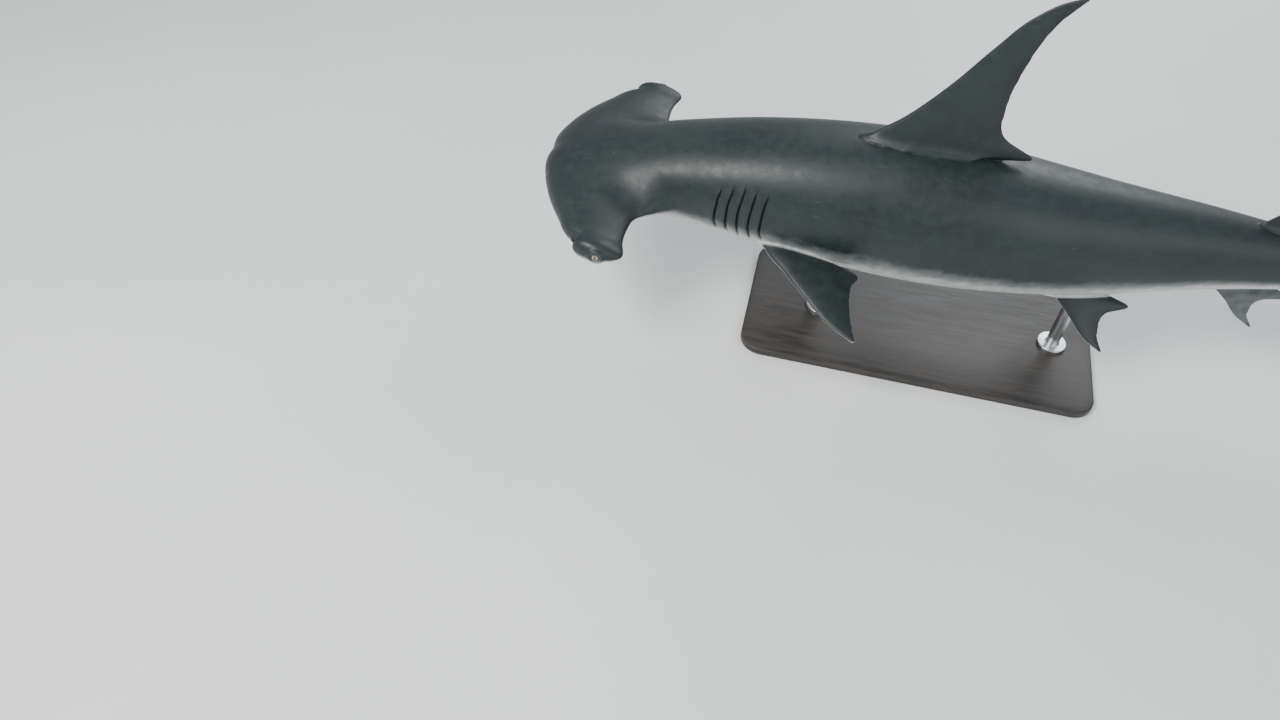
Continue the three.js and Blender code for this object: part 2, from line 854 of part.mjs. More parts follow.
const PELVIC = {
  lead: [
    [0, -0.004, -0.018],
    [0.2, 0, 0.001],
    [0.5, 0.017, 0.0225],
    [0.8, 0.0335, 0.0415],
    [1, 0.0475, 0.0505],
  ],
  trail: [
    [0, 0.042, -0.018],
    [0.14, 0.045, -0.003],
    [0.28, 0.0665, 0.0065],
    [0.45, 0.048, 0.016],
    [0.7, 0.0435, 0.034],
    [1, 0.0495, 0.05],
  ],
  root: 0.0045,
  tip: 0.0009,
  edge: 1.6,
  spanSteps: 9,
  chordSteps: 7,
};
const PELVIC_PLACE = { along: 0.468, out: 0.024, level: -0.045, droop: 0.75, curl: 0.1, pitch: 0.03 };

// Stand: a flat base and two rods that end just under the belly
const BASE = { length: 1400, width: 640, thickness: 32, corner: 90, chamfer: 6 };
const ROD = { radius: 26, at: [0.275, 0.5], sides: 20, collarRadius: 58, collarHeight: 14 };

function roundedRectangle(length, width, corner, z) {
  const ring = [];
  const CORNER_STEPS = 5;
  for (const [sx, sy, start] of [
    [1, 1, 0],
    [-1, 1, 1],
    [-1, -1, 2],
    [1, -1, 3],
  ]) {
    for (let i = 0; i <= CORNER_STEPS; i++) {
      const angle = (Math.PI / 2) * (start + i / CORNER_STEPS);
      ring.push([
        sx * (length / 2 - corner) + corner * Math.cos(angle),
        sy * (width / 2 - corner) + corner * Math.sin(angle),
        z,
      ]);
    }
  }
  return ring;
}

function standBase() {
  const { length, width, thickness, corner, chamfer } = BASE;
  const inner = [length - 2 * chamfer, width - 2 * chamfer, corner - chamfer];
  return loft([
    roundedRectangle(...inner, 0),
    roundedRectangle(length, width, corner, chamfer),
    roundedRectangle(length, width, corner, thickness - chamfer),
    roundedRectangle(...inner, thickness),
  ]);
}

function standRod(along, body) {
  const [x, y] = posed(share(along), 0, 0);
  const circle = (radius, z) =>
    Array.from({ length: ROD.sides }, (_, i) => {
      const angle = (2 * Math.PI * i) / ROD.sides;
      return [x + radius * Math.cos(angle), y + radius * Math.sin(angle), z];
    });
  const foot = BASE.thickness + GAP;
  const rod = loft([
    circle(ROD.collarRadius, foot),
    circle(ROD.collarRadius, foot + ROD.collarHeight - 4),
    circle(ROD.collarRadius - 4, foot + ROD.collarHeight),
    circle(ROD.radius, foot + ROD.collarHeight),
    circle(ROD.radius, AXIS_HEIGHT),
  ]);
  return largest(rod.subtract(body));
}

// The whole

const HIDE = 0x3b4b4c;
const materials = {
  skin: new THREE.MeshStandardMaterial({ color: HIDE, roughness: 0.5, metalness: 0 }),
  eye: new THREE.MeshStandardMaterial({ color: 0x14150f, roughness: 0.08, metalness: 0 }),
  base: new THREE.MeshStandardMaterial({ color: 0x2a2c2e, roughness: 0.45, metalness: 0 }),
  rod: new THREE.MeshStandardMaterial({ color: 0xb4b6b8, roughness: 0.3, metalness: 1 }),
};

const shark = new THREE.Group();

function addNode(name, solid, material) {
  const mesh = solid.getMesh();
  const geometry = new THREE.BufferGeometry();
  const points = new Float32Array(mesh.numVert * 3);
  for (let i = 0; i < mesh.numVert; i++) {
    points.set(mesh.vertProperties.subarray(i * mesh.numProp, i * mesh.numProp + 3), i * 3);
  }
  geometry.setAttribute("position", new THREE.BufferAttribute(points, 3));
  geometry.setIndex(new THREE.BufferAttribute(mesh.triVerts, 1));
  geometry.computeVertexNormals();
  const node = new THREE.Mesh(geometry, materials[material]);
  node.name = name;
  shark.add(node);
}

const grownTrunk = trunkLoft(0, 1, GAP);
const rooted = (solid) => largest(solid.subtract(grownTrunk));

addNode("head", moved(head(), posed), "skin");
addNode("gill_region", gillRegion(), "skin");
addNode("torso", trunkPart(GILLS_END, TORSO_END), "skin");
addNode("hind_body", trunkPart(TORSO_END, HIND_END), "skin");
addNode("tail_stem", trunkPart(HIND_END, STEM_END), "skin");

const firstDorsal = fin({ ...FIRST_DORSAL, place: medianPlace(FIRST_DORSAL.along, 1) });
const secondDorsal = fin({ ...SECOND_DORSAL, place: medianPlace(SECOND_DORSAL.along, 1) });
const anal = fin({ ...ANAL, place: medianPlace(ANAL.along, -1) });
addNode("first_dorsal_fin", rooted(firstDorsal), "skin");
addNode("second_dorsal_fin", rooted(secondDorsal), "skin");
addNode("anal_fin", rooted(anal), "skin");

// The upper lobe of the tail fin carries the end of the spine. The lower one meets it at a slanted cut.
const lobeCut = (along) => {
  const start = trunkBottom(STEM_END) - 0.0012;
  return share(start + ((along - STEM_END) / (FORK[0] - STEM_END)) * (FORK[1] - start));
};
const low = () => -share(0.3);
const high = () => share(0.3);
const upperLobe = fin({ ...CAUDAL_UPPER, place: medianPlaceAt(CAUDAL_UPPER.at, 1) })
  .add(trunkLoft(STEM_END - 0.02, SPINE_END))
  .subtract(bentBlock(STEM_END - 0.06, STEM_END + halfGap, low, high))
  .subtract(bentBlock(STEM_END - 0.06, SPINE_END, low, (along) => lobeCut(along) + GAP / 2));
const lowerLobe = fin({ ...CAUDAL_LOWER, place: medianPlaceAt(CAUDAL_LOWER.at, -1) })
  .subtract(grownTrunk)
  .subtract(bentBlock(STEM_END - halfGap, SPINE_END, (along) => lobeCut(along) - GAP / 2, high));
addNode("tail_fin_upper_lobe", largest(upperLobe), "skin");
addNode("tail_fin_lower_lobe", largest(lowerLobe), "skin");

for (const [name, side] of [
  ["left", -1],
  ["right", 1],
]) {
  const pectoral = fin({ ...PECTORAL, place: pairedPlace(PECTORAL_PLACE, side) });
  const pelvic = fin({ ...PELVIC, place: pairedPlace(PELVIC_PLACE, side) });
  addNode("pectoral_fin_" + name, rooted(pectoral), "skin");
  addNode("pelvic_fin_" + name, rooted(pelvic), "skin");
  addNode("eye_" + name, moved(eyeBall(side), posed), "eye");
}

addNode("stand_base", standBase(), "base");
ROD.at.forEach((along, i) => {
  addNode(["stand_rod_front", "stand_rod_rear"][i], standRod(along, grownTrunk), "rod");
});

export default shark;
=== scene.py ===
import math

import bpy
import numpy as np
from mathutils import Matrix


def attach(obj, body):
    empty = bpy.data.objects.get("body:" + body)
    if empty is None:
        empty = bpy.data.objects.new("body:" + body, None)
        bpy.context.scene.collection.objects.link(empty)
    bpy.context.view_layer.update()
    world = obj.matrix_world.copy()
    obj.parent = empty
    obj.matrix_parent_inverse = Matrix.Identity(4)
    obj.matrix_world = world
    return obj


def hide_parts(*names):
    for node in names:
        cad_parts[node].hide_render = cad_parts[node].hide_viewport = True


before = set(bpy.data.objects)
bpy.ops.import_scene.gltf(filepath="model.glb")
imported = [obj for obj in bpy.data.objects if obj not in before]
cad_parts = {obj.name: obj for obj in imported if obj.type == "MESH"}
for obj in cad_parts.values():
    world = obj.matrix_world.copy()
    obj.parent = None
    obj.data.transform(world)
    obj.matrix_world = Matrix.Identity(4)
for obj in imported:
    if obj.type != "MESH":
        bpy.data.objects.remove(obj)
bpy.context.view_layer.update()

# Sizes shared with the solids
LENGTH = 4.2
HEAD_HALF_WIDTH = 0.128 * LENGTH
HAMMER_LEVEL = -0.012 * LENGTH
SNOUT_X = -1.56
AXIS_HEIGHT = 0.618
HEAD_CUT = 0.15
SPINE_END = 0.945
TRUNK = [
    [0.028, -0.003, -0.022, 0.014], [0.045, 0.0095, -0.031, 0.031], [0.065, 0.0175, -0.0355, 0.0385],
    [0.1, 0.03, -0.0395, 0.0455], [0.14, 0.0415, -0.0435, 0.05], [0.18, 0.051, -0.0485, 0.0545],
    [0.22, 0.0585, -0.0545, 0.0575], [0.27, 0.0645, -0.0605, 0.0605], [0.32, 0.067, -0.064, 0.062],
    [0.38, 0.064, -0.0645, 0.06], [0.45, 0.056, -0.0595, 0.053], [0.5, 0.0495, -0.053, 0.0455],
    [0.56, 0.0415, -0.042, 0.036], [0.62, 0.034, -0.031, 0.027], [0.66, 0.029, -0.0245, 0.0215],
    [0.7, 0.0245, -0.0195, 0.017], [0.716, 0.0215, -0.018, 0.0158], [0.735, 0.031, -0.0145, 0.0142],
    [0.77, 0.058, 0.009, 0.0115], [0.81, 0.0885, 0.049, 0.0088], [0.86, 0.124, 0.095, 0.0062],
    [0.91, 0.157, 0.14, 0.0042], [0.95, 0.183, 0.176, 0.0028],
]
TRUNK_ROUNDNESS = 2.15
TRUNK_START_BLEND = 0.03
HAMMER = [
    [0, 0.0015, 0.128, 0.019], [0.12, 0.0002, 0.126, 0.0188], [0.3, 0.006, 0.112, 0.0175],
    [0.5, 0.0175, 0.0985, 0.0148], [0.68, 0.032, 0.0945, 0.0118], [0.82, 0.0445, 0.0955, 0.0098],
    [0.885, 0.0555, 0.098, 0.0096], [0.94, 0.0535, 0.1, 0.0104], [1, 0.056, 0.101, 0.0106],
]
HAMMER_END_START = 0.86
HAMMER_REAR_TAPER = 0.42
HAMMER_BLEND = 0.024 * LENGTH
SWING = [
    [0, 0], [0.34, 0], [0.48, 0.006], [0.6, 0.0165],
    [0.72, 0.017], [0.84, -0.004], [1, -0.052],
]
EYE_RADIUS = 0.0052 * LENGTH
EYE_ALONG = 0.077 * LENGTH
EYE_OUT = 0.1239 * LENGTH
LID_RADIUS = 0.0057 * LENGTH
LID_THICKNESS = 0.0015 * LENGTH
LID_OUT = EYE_OUT + 0.0031 * LENGTH
MOUTH_FRONT = 0.0665 * LENGTH
MOUTH_BACK = 0.103 * LENGTH
MOUTH_HALF_WIDTH = 0.037 * LENGTH
MOUTH_OPENING = 0.01
MOUTH_DEPTH = 0.042
MOUTH_SHAPE = 2.5
NOSTRIL_ACROSS = 0.882

# Details that only the scene has, in metres
MOUTH_TOP, MOUTH_FULL = -0.085, -0.1
LIP_RISE, LIP_OFFSET, LIP_WIDTH = 0.0048, 0.006, 0.0055
CHIN_CREASE, CHIN_OFFSET, CHIN_WIDTH = 0.0022, 0.024, 0.005
CORNER_RISE, CORNER_WIDTH, CORNER_INSET = 0.003, 0.016, 0.004
SOFT_EDGE = 0.003
NOSTRIL_TURN = 0.56
NOSTRIL_SETBACK = 0.002
NOSTRIL_DROP = 0.0018 * LENGTH
NOSTRIL_HOLE = (0.019, 0.026, 0.0075)
NOSTRIL_HOOD = (0.016, 0.024, 0.0045)
NOSTRIL_FLAP = (0.012, 0.0065, 0.0085)
GROOVE_DEPTH, GROOVE_WIDTH, GROOVE_ACROSS, GROOVE_SPREAD = 0.0028, 0.0035, 0.74, 0.075
LID_FOLDS = (0.0345, 0.0395)
FOLD_HEIGHT, FOLD_WIDTH = 0.0011, 0.0016
LATERAL_LINE_ANGLE, LATERAL_LINE_DEPTH, LATERAL_LINE_WIDTH = 0.32, 0.0011, 0.022


def share(part):
    return part * LENGTH


def curve_through(rows):
    """A smooth curve through rows of [position, value], flat beyond its ends."""
    at = np.array([row[0] for row in rows], float)
    value = np.array([row[1] for row in rows], float)
    step = np.diff(at)
    rise = np.diff(value) / step
    slope = np.empty(len(at))
    slope[0], slope[-1] = rise[0], rise[-1]
    slope[1:-1] = (rise[:-1] * step[1:] + rise[1:] * step[:-1]) / (step[1:] + step[:-1])

    def curve(position):
        position = np.clip(np.asarray(position, float), at[0], at[-1])
        i = np.clip(np.searchsorted(at, position, side="right") - 1, 0, len(at) - 2)
        span = at[i + 1] - at[i]
        t = (position - at[i]) / span
        rest = 1 - t
        ends = value[i] * rest * rest * (1 + 2 * t) + value[i + 1] * t * t * (3 - 2 * t)
        return ends + span * t * rest * (slope[i] * rest - slope[i + 1] * t)

    return curve


def columns(table):
    """A curve for each column of a table, over its first column."""
    return [curve_through([[row[0], row[n]] for row in table]) for n in range(1, len(table[0]))]


trunk_top, trunk_bottom, trunk_half_width = columns(TRUNK)
hammer_front, hammer_rear, hammer_half_thickness = columns(HAMMER)
swing = curve_through(SWING)


def smooth(low, high, value):
    t = np.clip((value - low) / (high - low), 0, 1)
    return t * t * (3 - 2 * t)


def bump(value, width):
    return np.exp(-((value / width) ** 2))


def join_smoothly(a, b, reach):
    h = np.maximum(0, reach - np.abs(a - b)) / reach
    return np.minimum(a, b) - h * h * reach / 4


def cut_smoothly(a, b, reach):
    return -join_smoothly(-a, b, reach)


def bend(along):
    step = 0.002
    slope = (swing(along + step) - swing(along - step)) / (2 * step)
    return slope, np.hypot(1, slope)


def posed(points):
    """Where points of the straight animal go: bent sideways and set over the base."""
    x, y, z = points[..., 0], points[..., 1], points[..., 2]
    slope, size = bend(x / LENGTH)
    along = SNOUT_X + x - y * slope / size
    across = share(swing(x / LENGTH)) + y / size
    return np.stack([along, across, AXIS_HEIGHT + z], -1)


def straightened(points):
    """The reverse of posed()."""
    x = points[..., 0] - SNOUT_X
    y = points[..., 1]
    for _ in range(5):
        slope, size = bend(x / LENGTH)
        y = (points[..., 1] - share(swing(x / LENGTH))) * size
        x = points[..., 0] - SNOUT_X + y * slope / size
    return np.stack([x, y, points[..., 2] - AXIS_HEIGHT], -1)


# Surfaces given as fields, below zero inside and about metres near the surface


def trunk_frame(x):
    """Half width, half height and middle height of the trunk."""
    along = x / LENGTH
    top, bottom = share(trunk_top(along)), share(trunk_bottom(along))
    return share(trunk_half_width(along)), (top - bottom) / 2, (top + bottom) / 2


def trunk_field(x, y, z):
    half_width, half_height, level = trunk_frame(x)
    n = TRUNK_ROUNDNESS
    out = (np.abs(y) / half_width) ** n + (np.abs(z - level) / half_height) ** n
    out = (out ** (1 / n) - 1) * np.minimum(half_width, half_height)
    return cut_smoothly(out, x - share(TRUNK[0][0]), share(TRUNK_START_BLEND))


def hammer_field(x, y, z):
    across = np.abs(y) / HEAD_HALF_WIDTH
    front, rear = share(hammer_front(across)), share(hammer_rear(across))
    back = (x - (front + rear) / 2) / ((rear - front) / 2)
    past = np.maximum(0, (across - HAMMER_END_START) / (1 - HAMMER_END_START))
    taper = 1 - HAMMER_REAR_TAPER * np.clip(back, -1, 1)
    half = share(hammer_half_thickness(across)) * taper
    up = (z - HAMMER_LEVEL) / half
    return (np.sqrt(up * up + back * back + past**4) - 1) * half


def head_shell(x, y, z):
    fade = np.maximum(0.01, smooth(share(HEAD_CUT), share(0.1), x))
    return join_smoothly(trunk_field(x, y, z), hammer_field(x, y, z), HAMMER_BLEND * fade)


def mouth_distance(x, y):
    """How far ahead of the mouth's line a place is, and how open the mouth is there."""
    across = y / MOUTH_HALF_WIDTH
    reach = MOUTH_BACK - MOUTH_FRONT
    ahead = np.clip(1 - (x - MOUTH_FRONT) / reach, 0, 2)
    level = across**2 + ahead**MOUTH_SHAPE - 1
    slope_x = MOUTH_SHAPE * ahead ** (MOUTH_SHAPE - 1) / reach
    slope = np.hypot(slope_x, 2 * across / MOUTH_HALF_WIDTH)
    opening = np.clip(1 - (np.maximum(x - MOUTH_FRONT, 0) / (reach * 0.98)) ** 2.2, 0, 1) ** 0.75
    return level / np.maximum(slope, 4), opening


def add_mouth(field, x, y, z):
    ahead, opening = mouth_distance(x, y)
    half = MOUTH_OPENING / 2 * opening
    below = smooth(MOUTH_TOP, MOUTH_FULL, z)
    from_edge = np.abs(ahead) - half
    field = field - LIP_RISE * bump(from_edge - LIP_OFFSET, LIP_WIDTH) * opening * below
    field = field + CHIN_CREASE * bump(ahead - CHIN_OFFSET, CHIN_WIDTH) * opening * below
    from_corner = np.hypot(x - (MOUTH_BACK - CORNER_INSET), np.abs(y) - MOUTH_HALF_WIDTH)
    field = field - CORNER_RISE * bump(from_corner, CORNER_WIDTH) * below
    slit = np.maximum(np.maximum(from_edge, -MOUTH_DEPTH - field), x - MOUTH_BACK)
    slit = np.maximum(slit, z - MOUTH_TOP)
    return cut_smoothly(field, slit, SOFT_EDGE)


def nostril_frame(x, y, z):
    """A place as seen from the nearer nostril: inward, outward and up."""
    dx = x - share(hammer_front(NOSTRIL_ACROSS)) + NOSTRIL_SETBACK
    dy = np.abs(y) - HEAD_HALF_WIDTH * NOSTRIL_ACROSS
    inward = math.cos(NOSTRIL_TURN) * dx - math.sin(NOSTRIL_TURN) * dy
    outward = math.sin(NOSTRIL_TURN) * dx + math.cos(NOSTRIL_TURN) * dy
    return inward, outward, z - HAMMER_LEVEL + NOSTRIL_DROP


def lump(a, b, c, sizes):
    """The field of an ellipsoid with the given half sizes."""
    radius = np.sqrt((a / sizes[0]) ** 2 + (b / sizes[1]) ** 2 + (c / sizes[2]) ** 2)
    return (radius - 1) * min(sizes)


def front_groove(x, y, c):
    """How far in the groove along the front of the hammer a place is, from 0 to 1."""
    across = np.abs(y) / HEAD_HALF_WIDTH
    groove = bump(c + 0.001, GROOVE_WIDTH) * bump(x - share(hammer_front(across)), 0.02)
    return groove * bump(across - GROOVE_ACROSS, GROOVE_SPREAD)


def add_nostrils(field, x, y, z):
    a, b, c = nostril_frame(x, y, z)
    hood = lump(a - 0.004, b + 0.002, c - 0.0105, NOSTRIL_HOOD)
    field = join_smoothly(field, hood, 0.005)
    hole = lump(a, b, c + 0.0008 * np.sin(b * 150), NOSTRIL_HOLE)
    field = cut_smoothly(field, hole, SOFT_EDGE)
    flap = lump(a - 0.003, b + 0.004, c - 0.004, NOSTRIL_FLAP)
    field = join_smoothly(field, flap, SOFT_EDGE)
    return field + GROOVE_DEPTH * front_groove(x, y, c)


def add_eyes(field, x, y, z):
    dx, dy, dz = x - EYE_ALONG, np.abs(y) - EYE_OUT, z - HAMMER_LEVEL
    round_eye = np.hypot(dx * 0.96, dz * 1.07)
    ring = np.hypot(round_eye - LID_RADIUS, np.abs(y) - LID_OUT) - LID_THICKNESS
    field = join_smoothly(field, ring, 0.009)
    inner, outer = [bump(round_eye - radius, FOLD_WIDTH) for radius in LID_FOLDS]
    folds = inner + 0.7 * outer
    field = field + FOLD_HEIGHT * folds * smooth(-0.03, 0.0, dy) * smooth(0.02, -0.016, dz)
    ball = np.sqrt(dx**2 + dy**2 + dz**2) - EYE_RADIUS - 0.0004
    return cut_smoothly(field, ball, 0.0012)


# Each feature with the spans of x, of y on either side, and of z that it lies in
HEAD_FEATURES = [
    (add_mouth, (0.24, 0.46), (0, 0.2), (-0.25, -0.07)),
    (add_nostrils, (0.05, 0.34), (0.28, 0.55), (-0.11, 0.0)),
    (add_eyes, (0.25, 0.4), (0.46, 0.57), (-0.12, 0.02)),
]


def head_field(x, y, z):
    field = head_shell(x, y, z)
    for feature, *_ in HEAD_FEATURES:
        field = feature(field, x, y, z)
    return field


def grid_lines(start, end, steps):
    """Places from start to just past end, with steps from rows of [place, step]."""
    at, step = np.array(steps, float).T
    lines = [start]
    while lines[-1] < end:
        lines.append(lines[-1] + float(np.interp(lines[-1], at, step)))
    return np.array(lines)


def both_sides(span):
    """A span of y on either side, as one span if it starts in the middle."""
    low, high = span
    if low == 0:
        return [(-high, high)]
    return [(-high, -low), (low, high)]


def sampled(field, features, xs, ys, zs):
    """A field's values on a grid, with each feature added only where it lies."""
    value = field(xs[:, None, None], ys[None, :, None], zs[None, None, :])
    for feature, span_x, span_y, span_z in features:
        for side_span in both_sides(span_y):
            i, j, k = [
                slice(*np.searchsorted(axis, span))
                for axis, span in ((xs, span_x), (ys, side_span), (zs, span_z))
            ]
            place = xs[i, None, None], ys[None, j, None], zs[None, None, k]
            value[i, j, k] = feature(value[i, j, k], *place)
    return value


def surface_net(value, xs, ys, zs):
    """The surface where a field is zero, open at the end of x."""
    inside = value < 0
    count = np.zeros(tuple(n - 1 for n in value.shape), np.int8)
    corners = [(a, b, c) for a in (0, 1) for b in (0, 1) for c in (0, 1)]
    for p in corners:
        count += inside[tuple(slice(o, o + n) for o, n in zip(p, count.shape))]
    cells = np.argwhere((count > 0) & (count < 8))
    number = np.full(count.shape, -1, np.int64)
    number[tuple(cells.T)] = np.arange(len(cells))
    total = np.zeros((len(cells), 3))
    crossings = np.zeros(len(cells))
    axes = (xs, ys, zs)
    for p in corners:
        for n in range(3):
            if p[n]:
                continue
            q = tuple(v + (m == n) for m, v in enumerate(p))
            a = value[tuple((cells + p).T)]
            b = value[tuple((cells + q).T)]
            crossed = (a < 0) != (b < 0)
            t = np.where(crossed, a / np.where(crossed, a - b, 1), 0)
            for m in range(3):
                low = axes[m][cells[:, m] + p[m]]
                high = axes[m][cells[:, m] + q[m]]
                total[:, m] += np.where(crossed, low * (1 - t) + high * t, 0)
            crossings += crossed
    points = total / crossings[:, None]
    faces = []
    for n, (u, v) in enumerate(((1, 2), (2, 0), (0, 1))):
        edges = np.argwhere(np.diff(inside, axis=n))
        around = edges[:, [u, v]]
        edges = edges[((around > 0) & (around < np.array(count.shape)[[u, v]])).all(1)]
        back_u, back_v = np.eye(3, dtype=int)[[u, v]]
        ring = [edges, edges - back_u, edges - back_u - back_v, edges - back_v]
        quads = np.stack([number[tuple(r.T)] for r in ring], 1)
        outward = inside[tuple(edges.T)]
        quads[~outward] = quads[~outward][:, ::-1]
        faces.append(quads)
    return points, np.concatenate(faces)


def open_rim(quads):
    """The points around the one opening of a surface, in order."""
    edges = np.stack([quads, np.roll(quads, -1, axis=1)], -1).reshape(-1, 2)
    _, at, uses = np.unique(np.sort(edges, 1), axis=0, return_index=True, return_counts=True)
    following = dict(edges[at[uses == 1]].tolist())
    rim = [next(iter(following))]
    while following[rim[-1]] != rim[0]:
        rim.append(following[rim[-1]])
    return np.array(rim)


def field_slope(field, x, y, z, step):
    """How fast a field rises along x, y and z."""
    along = field(x + step, y, z) - field(x - step, y, z)
    across = field(x, y + step, z) - field(x, y - step, z)
    up = field(x, y, z + step) - field(x, y, z - step)
    return np.stack([along, across, up], 1) / (2 * step)


def settled(field, points, limit):
    """Points moved onto the surface where a field is zero."""
    step = 0.0004
    for _ in range(3):
        x, y, z = points.T
        here = field(x, y, z)
        slope = field_slope(field, x, y, z, step)
        size = np.maximum(0.05, (slope**2).sum(1))
        move = np.clip(here, -limit, limit) / size
        points = points - slope * move[:, None]
    return points


# Trunk behind the head, with gill flaps. Spans and heights of gills are angles round the trunk.
GILLS = 5
GILL_MIDDLE = -0.08
GILL_FIRST, GILL_STEP, GILL_SPAN = 0.1655, 0.0102, 0.62
GILL_LIFT, GILL_GROOVE = 0.0062, 0.0085
SIDES = 240


def gill_relief(x, angle):
    """How far the gills stand off the plain trunk, and how deep in a slit a place is."""
    along = x / LENGTH
    relief = np.zeros(np.broadcast(x, angle).shape)
    depth = np.zeros_like(relief)
    for n in range(GILLS):
        reach = GILL_SPAN * (1 - 0.07 * abs(n - 2))
        height = (angle - GILL_MIDDLE) / reach
        inside = smooth(1.04, 0.74, np.abs(height))
        lean = 0.004 * np.cos(np.clip(height, -1, 1) * math.pi / 2)
        ragged = 0.00022 * np.sin(height * 7 + n * 1.7)
        slit = GILL_FIRST + GILL_STEP * n - lean + ragged + 0.002
        behind = share(along - slit)
        flap = smooth(-share(GILL_STEP) * 0.95, -0.002, behind) ** 1.6 * (behind < 0)
        relief += GILL_LIFT * flap * smooth(1.04, 0.4, np.abs(height))
        width = 0.0015 + 0.0016 * inside
        groove = bump(behind - 0.8 * width, width) * (behind > 0)
        relief -= GILL_GROOVE * groove * inside
        depth = np.maximum(depth, bump(behind - 0.6 * width, width * 1.05) * inside**0.5)
    return relief, depth


def trunk_rings(xs):
    """Rings of points round the trunk, one for each place along it."""
    angle = np.linspace(0, 2 * math.pi, SIDES, endpoint=False)[None, :]
    x = xs[:, None]
    half_width, half_height, level = trunk_frame(x)
    power = 2 / TRUNK_ROUNDNESS
    cos, sin = np.cos(angle), np.sin(angle)
    beside = np.arctan2(sin, np.abs(cos))
    relief, _ = gill_relief(x, beside)
    line = LATERAL_LINE_DEPTH * bump(beside - LATERAL_LINE_ANGLE, LATERAL_LINE_WIDTH)
    line = line * smooth(share(0.21), share(0.26), x)
    relief = relief - line * smooth(share(0.72), share(0.6), x)
    y = (half_width + relief) * np.sign(cos) * np.abs(cos) ** power
    z = level + (half_height + relief) * np.sign(sin) * np.abs(sin) ** power
    return np.stack([np.broadcast_to(x, y.shape), y, z], -1)


def ring_faces(count, around, start=0):
    """Quads between rings that follow each other in a list of points."""
    i = np.arange(count - 1)[:, None] * around + start
    j = np.arange(around)[None, :]
    k = (j + 1) % around
    return np.stack([i + j, i + k, i + around + k, i + around + j], -1).reshape(-1, 4)


def zipped(loop_a, loop_b, angle_a, angle_b):
    """Triangles between two closed loops that are ordered by angle."""
    faces = []
    i = j = 0
    n, m = len(loop_a), len(loop_b)
    while i < n or j < m:
        next_a = angle_a[i + 1] if i + 1 < n else angle_a[0] + 2 * math.pi
        next_b = angle_b[j + 1] if j + 1 < m else angle_b[0] + 2 * math.pi
        if j >= m or (i < n and next_a <= next_b):
            faces.append((loop_a[i % n], loop_b[j % m], loop_a[(i + 1) % n]))
            i += 1
        else:
            faces.append((loop_a[i % n], loop_b[j % m], loop_b[(j + 1) % m]))
            j += 1
    return faces


def signed_volume(points, faces):
    """Above zero where the faces look outward. Only its sign is used."""
    total = 0.0
    for face_set in faces:
        f = np.asarray(face_set)
        for n in range(1, f.shape[1] - 1):
            a, b, c = points[f[:, 0]], points[f[:, n]], points[f[:, n + 1]]
            total += np.einsum("ij,ij->i", a, np.cross(b, c)).sum()
    return total


def placed(name, data):
    """A new object of this data, in the scene."""
    made = bpy.data.objects.new(name, data)
    bpy.context.collection.objects.link(made)
    return made


def make_object(name, points, *face_sets):
    """A mesh object whose faces look outward."""
    faces = [face for face_set in face_sets for face in np.asarray(face_set).tolist()]
    if signed_volume(points, face_sets) < 0:
        faces = [face[::-1] for face in faces]
    mesh = bpy.data.meshes.new(name)
    mesh.from_pydata(points.tolist(), [], faces)
    mesh.validate()
    return placed(name, mesh)


def loft_object(name, rings):
    """A closed object through rings [count, around, 3], with a fan at each end."""
    count, around = rings.shape[:2]
    ends = [rings[0].mean(0)[None], rings[-1].mean(0)[None]]
    points = np.concatenate([rings.reshape(-1, 3), *ends])
    j = np.arange(around)
    k = (j + 1) % around
    first = np.full(around, count * around)
    end = (count - 1) * around
    caps = [np.stack([k, j, first], 1), np.stack([end + j, end + k, first + 1], 1)]
    return make_object(name, points, ring_faces(count, around), *caps)


def head_grid():
    """Grid lines for the head, closest where the mouth, eyes and nostrils are."""
    steps = [[0, 0.0035], [0.24, 0.0028], [0.44, 0.0028], [0.5, 0.005]]
    xs = grid_lines(-0.012, share(HEAD_CUT), steps)
    steps = [[0, 0.0029], [0.165, 0.0029], [0.2, 0.0045], [0.43, 0.0045], [0.46, 0.002]]
    half = grid_lines(0, HEAD_HALF_WIDTH + 0.012, steps)
    ys = np.concatenate([-half[:0:-1], half])
    up = grid_lines(0, 0.215, [[0, 0.0024], [0.04, 0.0024], [0.06, 0.0042]])
    down = grid_lines(0, 0.165, [[0, 0.0024], [0.04, 0.0024], [0.06, 0.0034]])
    zs = np.concatenate([HAMMER_LEVEL - down[:0:-1], HAMMER_LEVEL + up])
    return xs, ys, zs


def faces_inward(points, faces, level):
    """For each face, whether it looks towards the line y = 0, z = level."""
    a, b, c = [points[faces[:, n]] for n in (0, 1, -1)]
    normal = np.cross(b - a, c - a)
    centre = points[faces].mean(1)
    return normal[:, 1] * centre[:, 1] + normal[:, 2] * (centre[:, 2] - level) < 0


def seam_faces(points, rim, first_ring, level):
    """Triangles between the head's open rim and the trunk's first ring."""
    rim_angle, ring_angle = [
        np.arctan2(points[loop, 2] - level, points[loop, 1]) for loop in (rim, first_ring)
    ]
    if (np.diff(rim_angle) > 0).mean() < 0.5:
        rim, rim_angle = rim[::-1], rim_angle[::-1]
    order = (np.argmin(rim_angle) + np.arange(len(rim))) % len(rim)
    ring_order = np.argsort(ring_angle)
    loops = rim[order], first_ring[ring_order]
    return np.array(zipped(*loops, rim_angle[order], ring_angle[ring_order]))


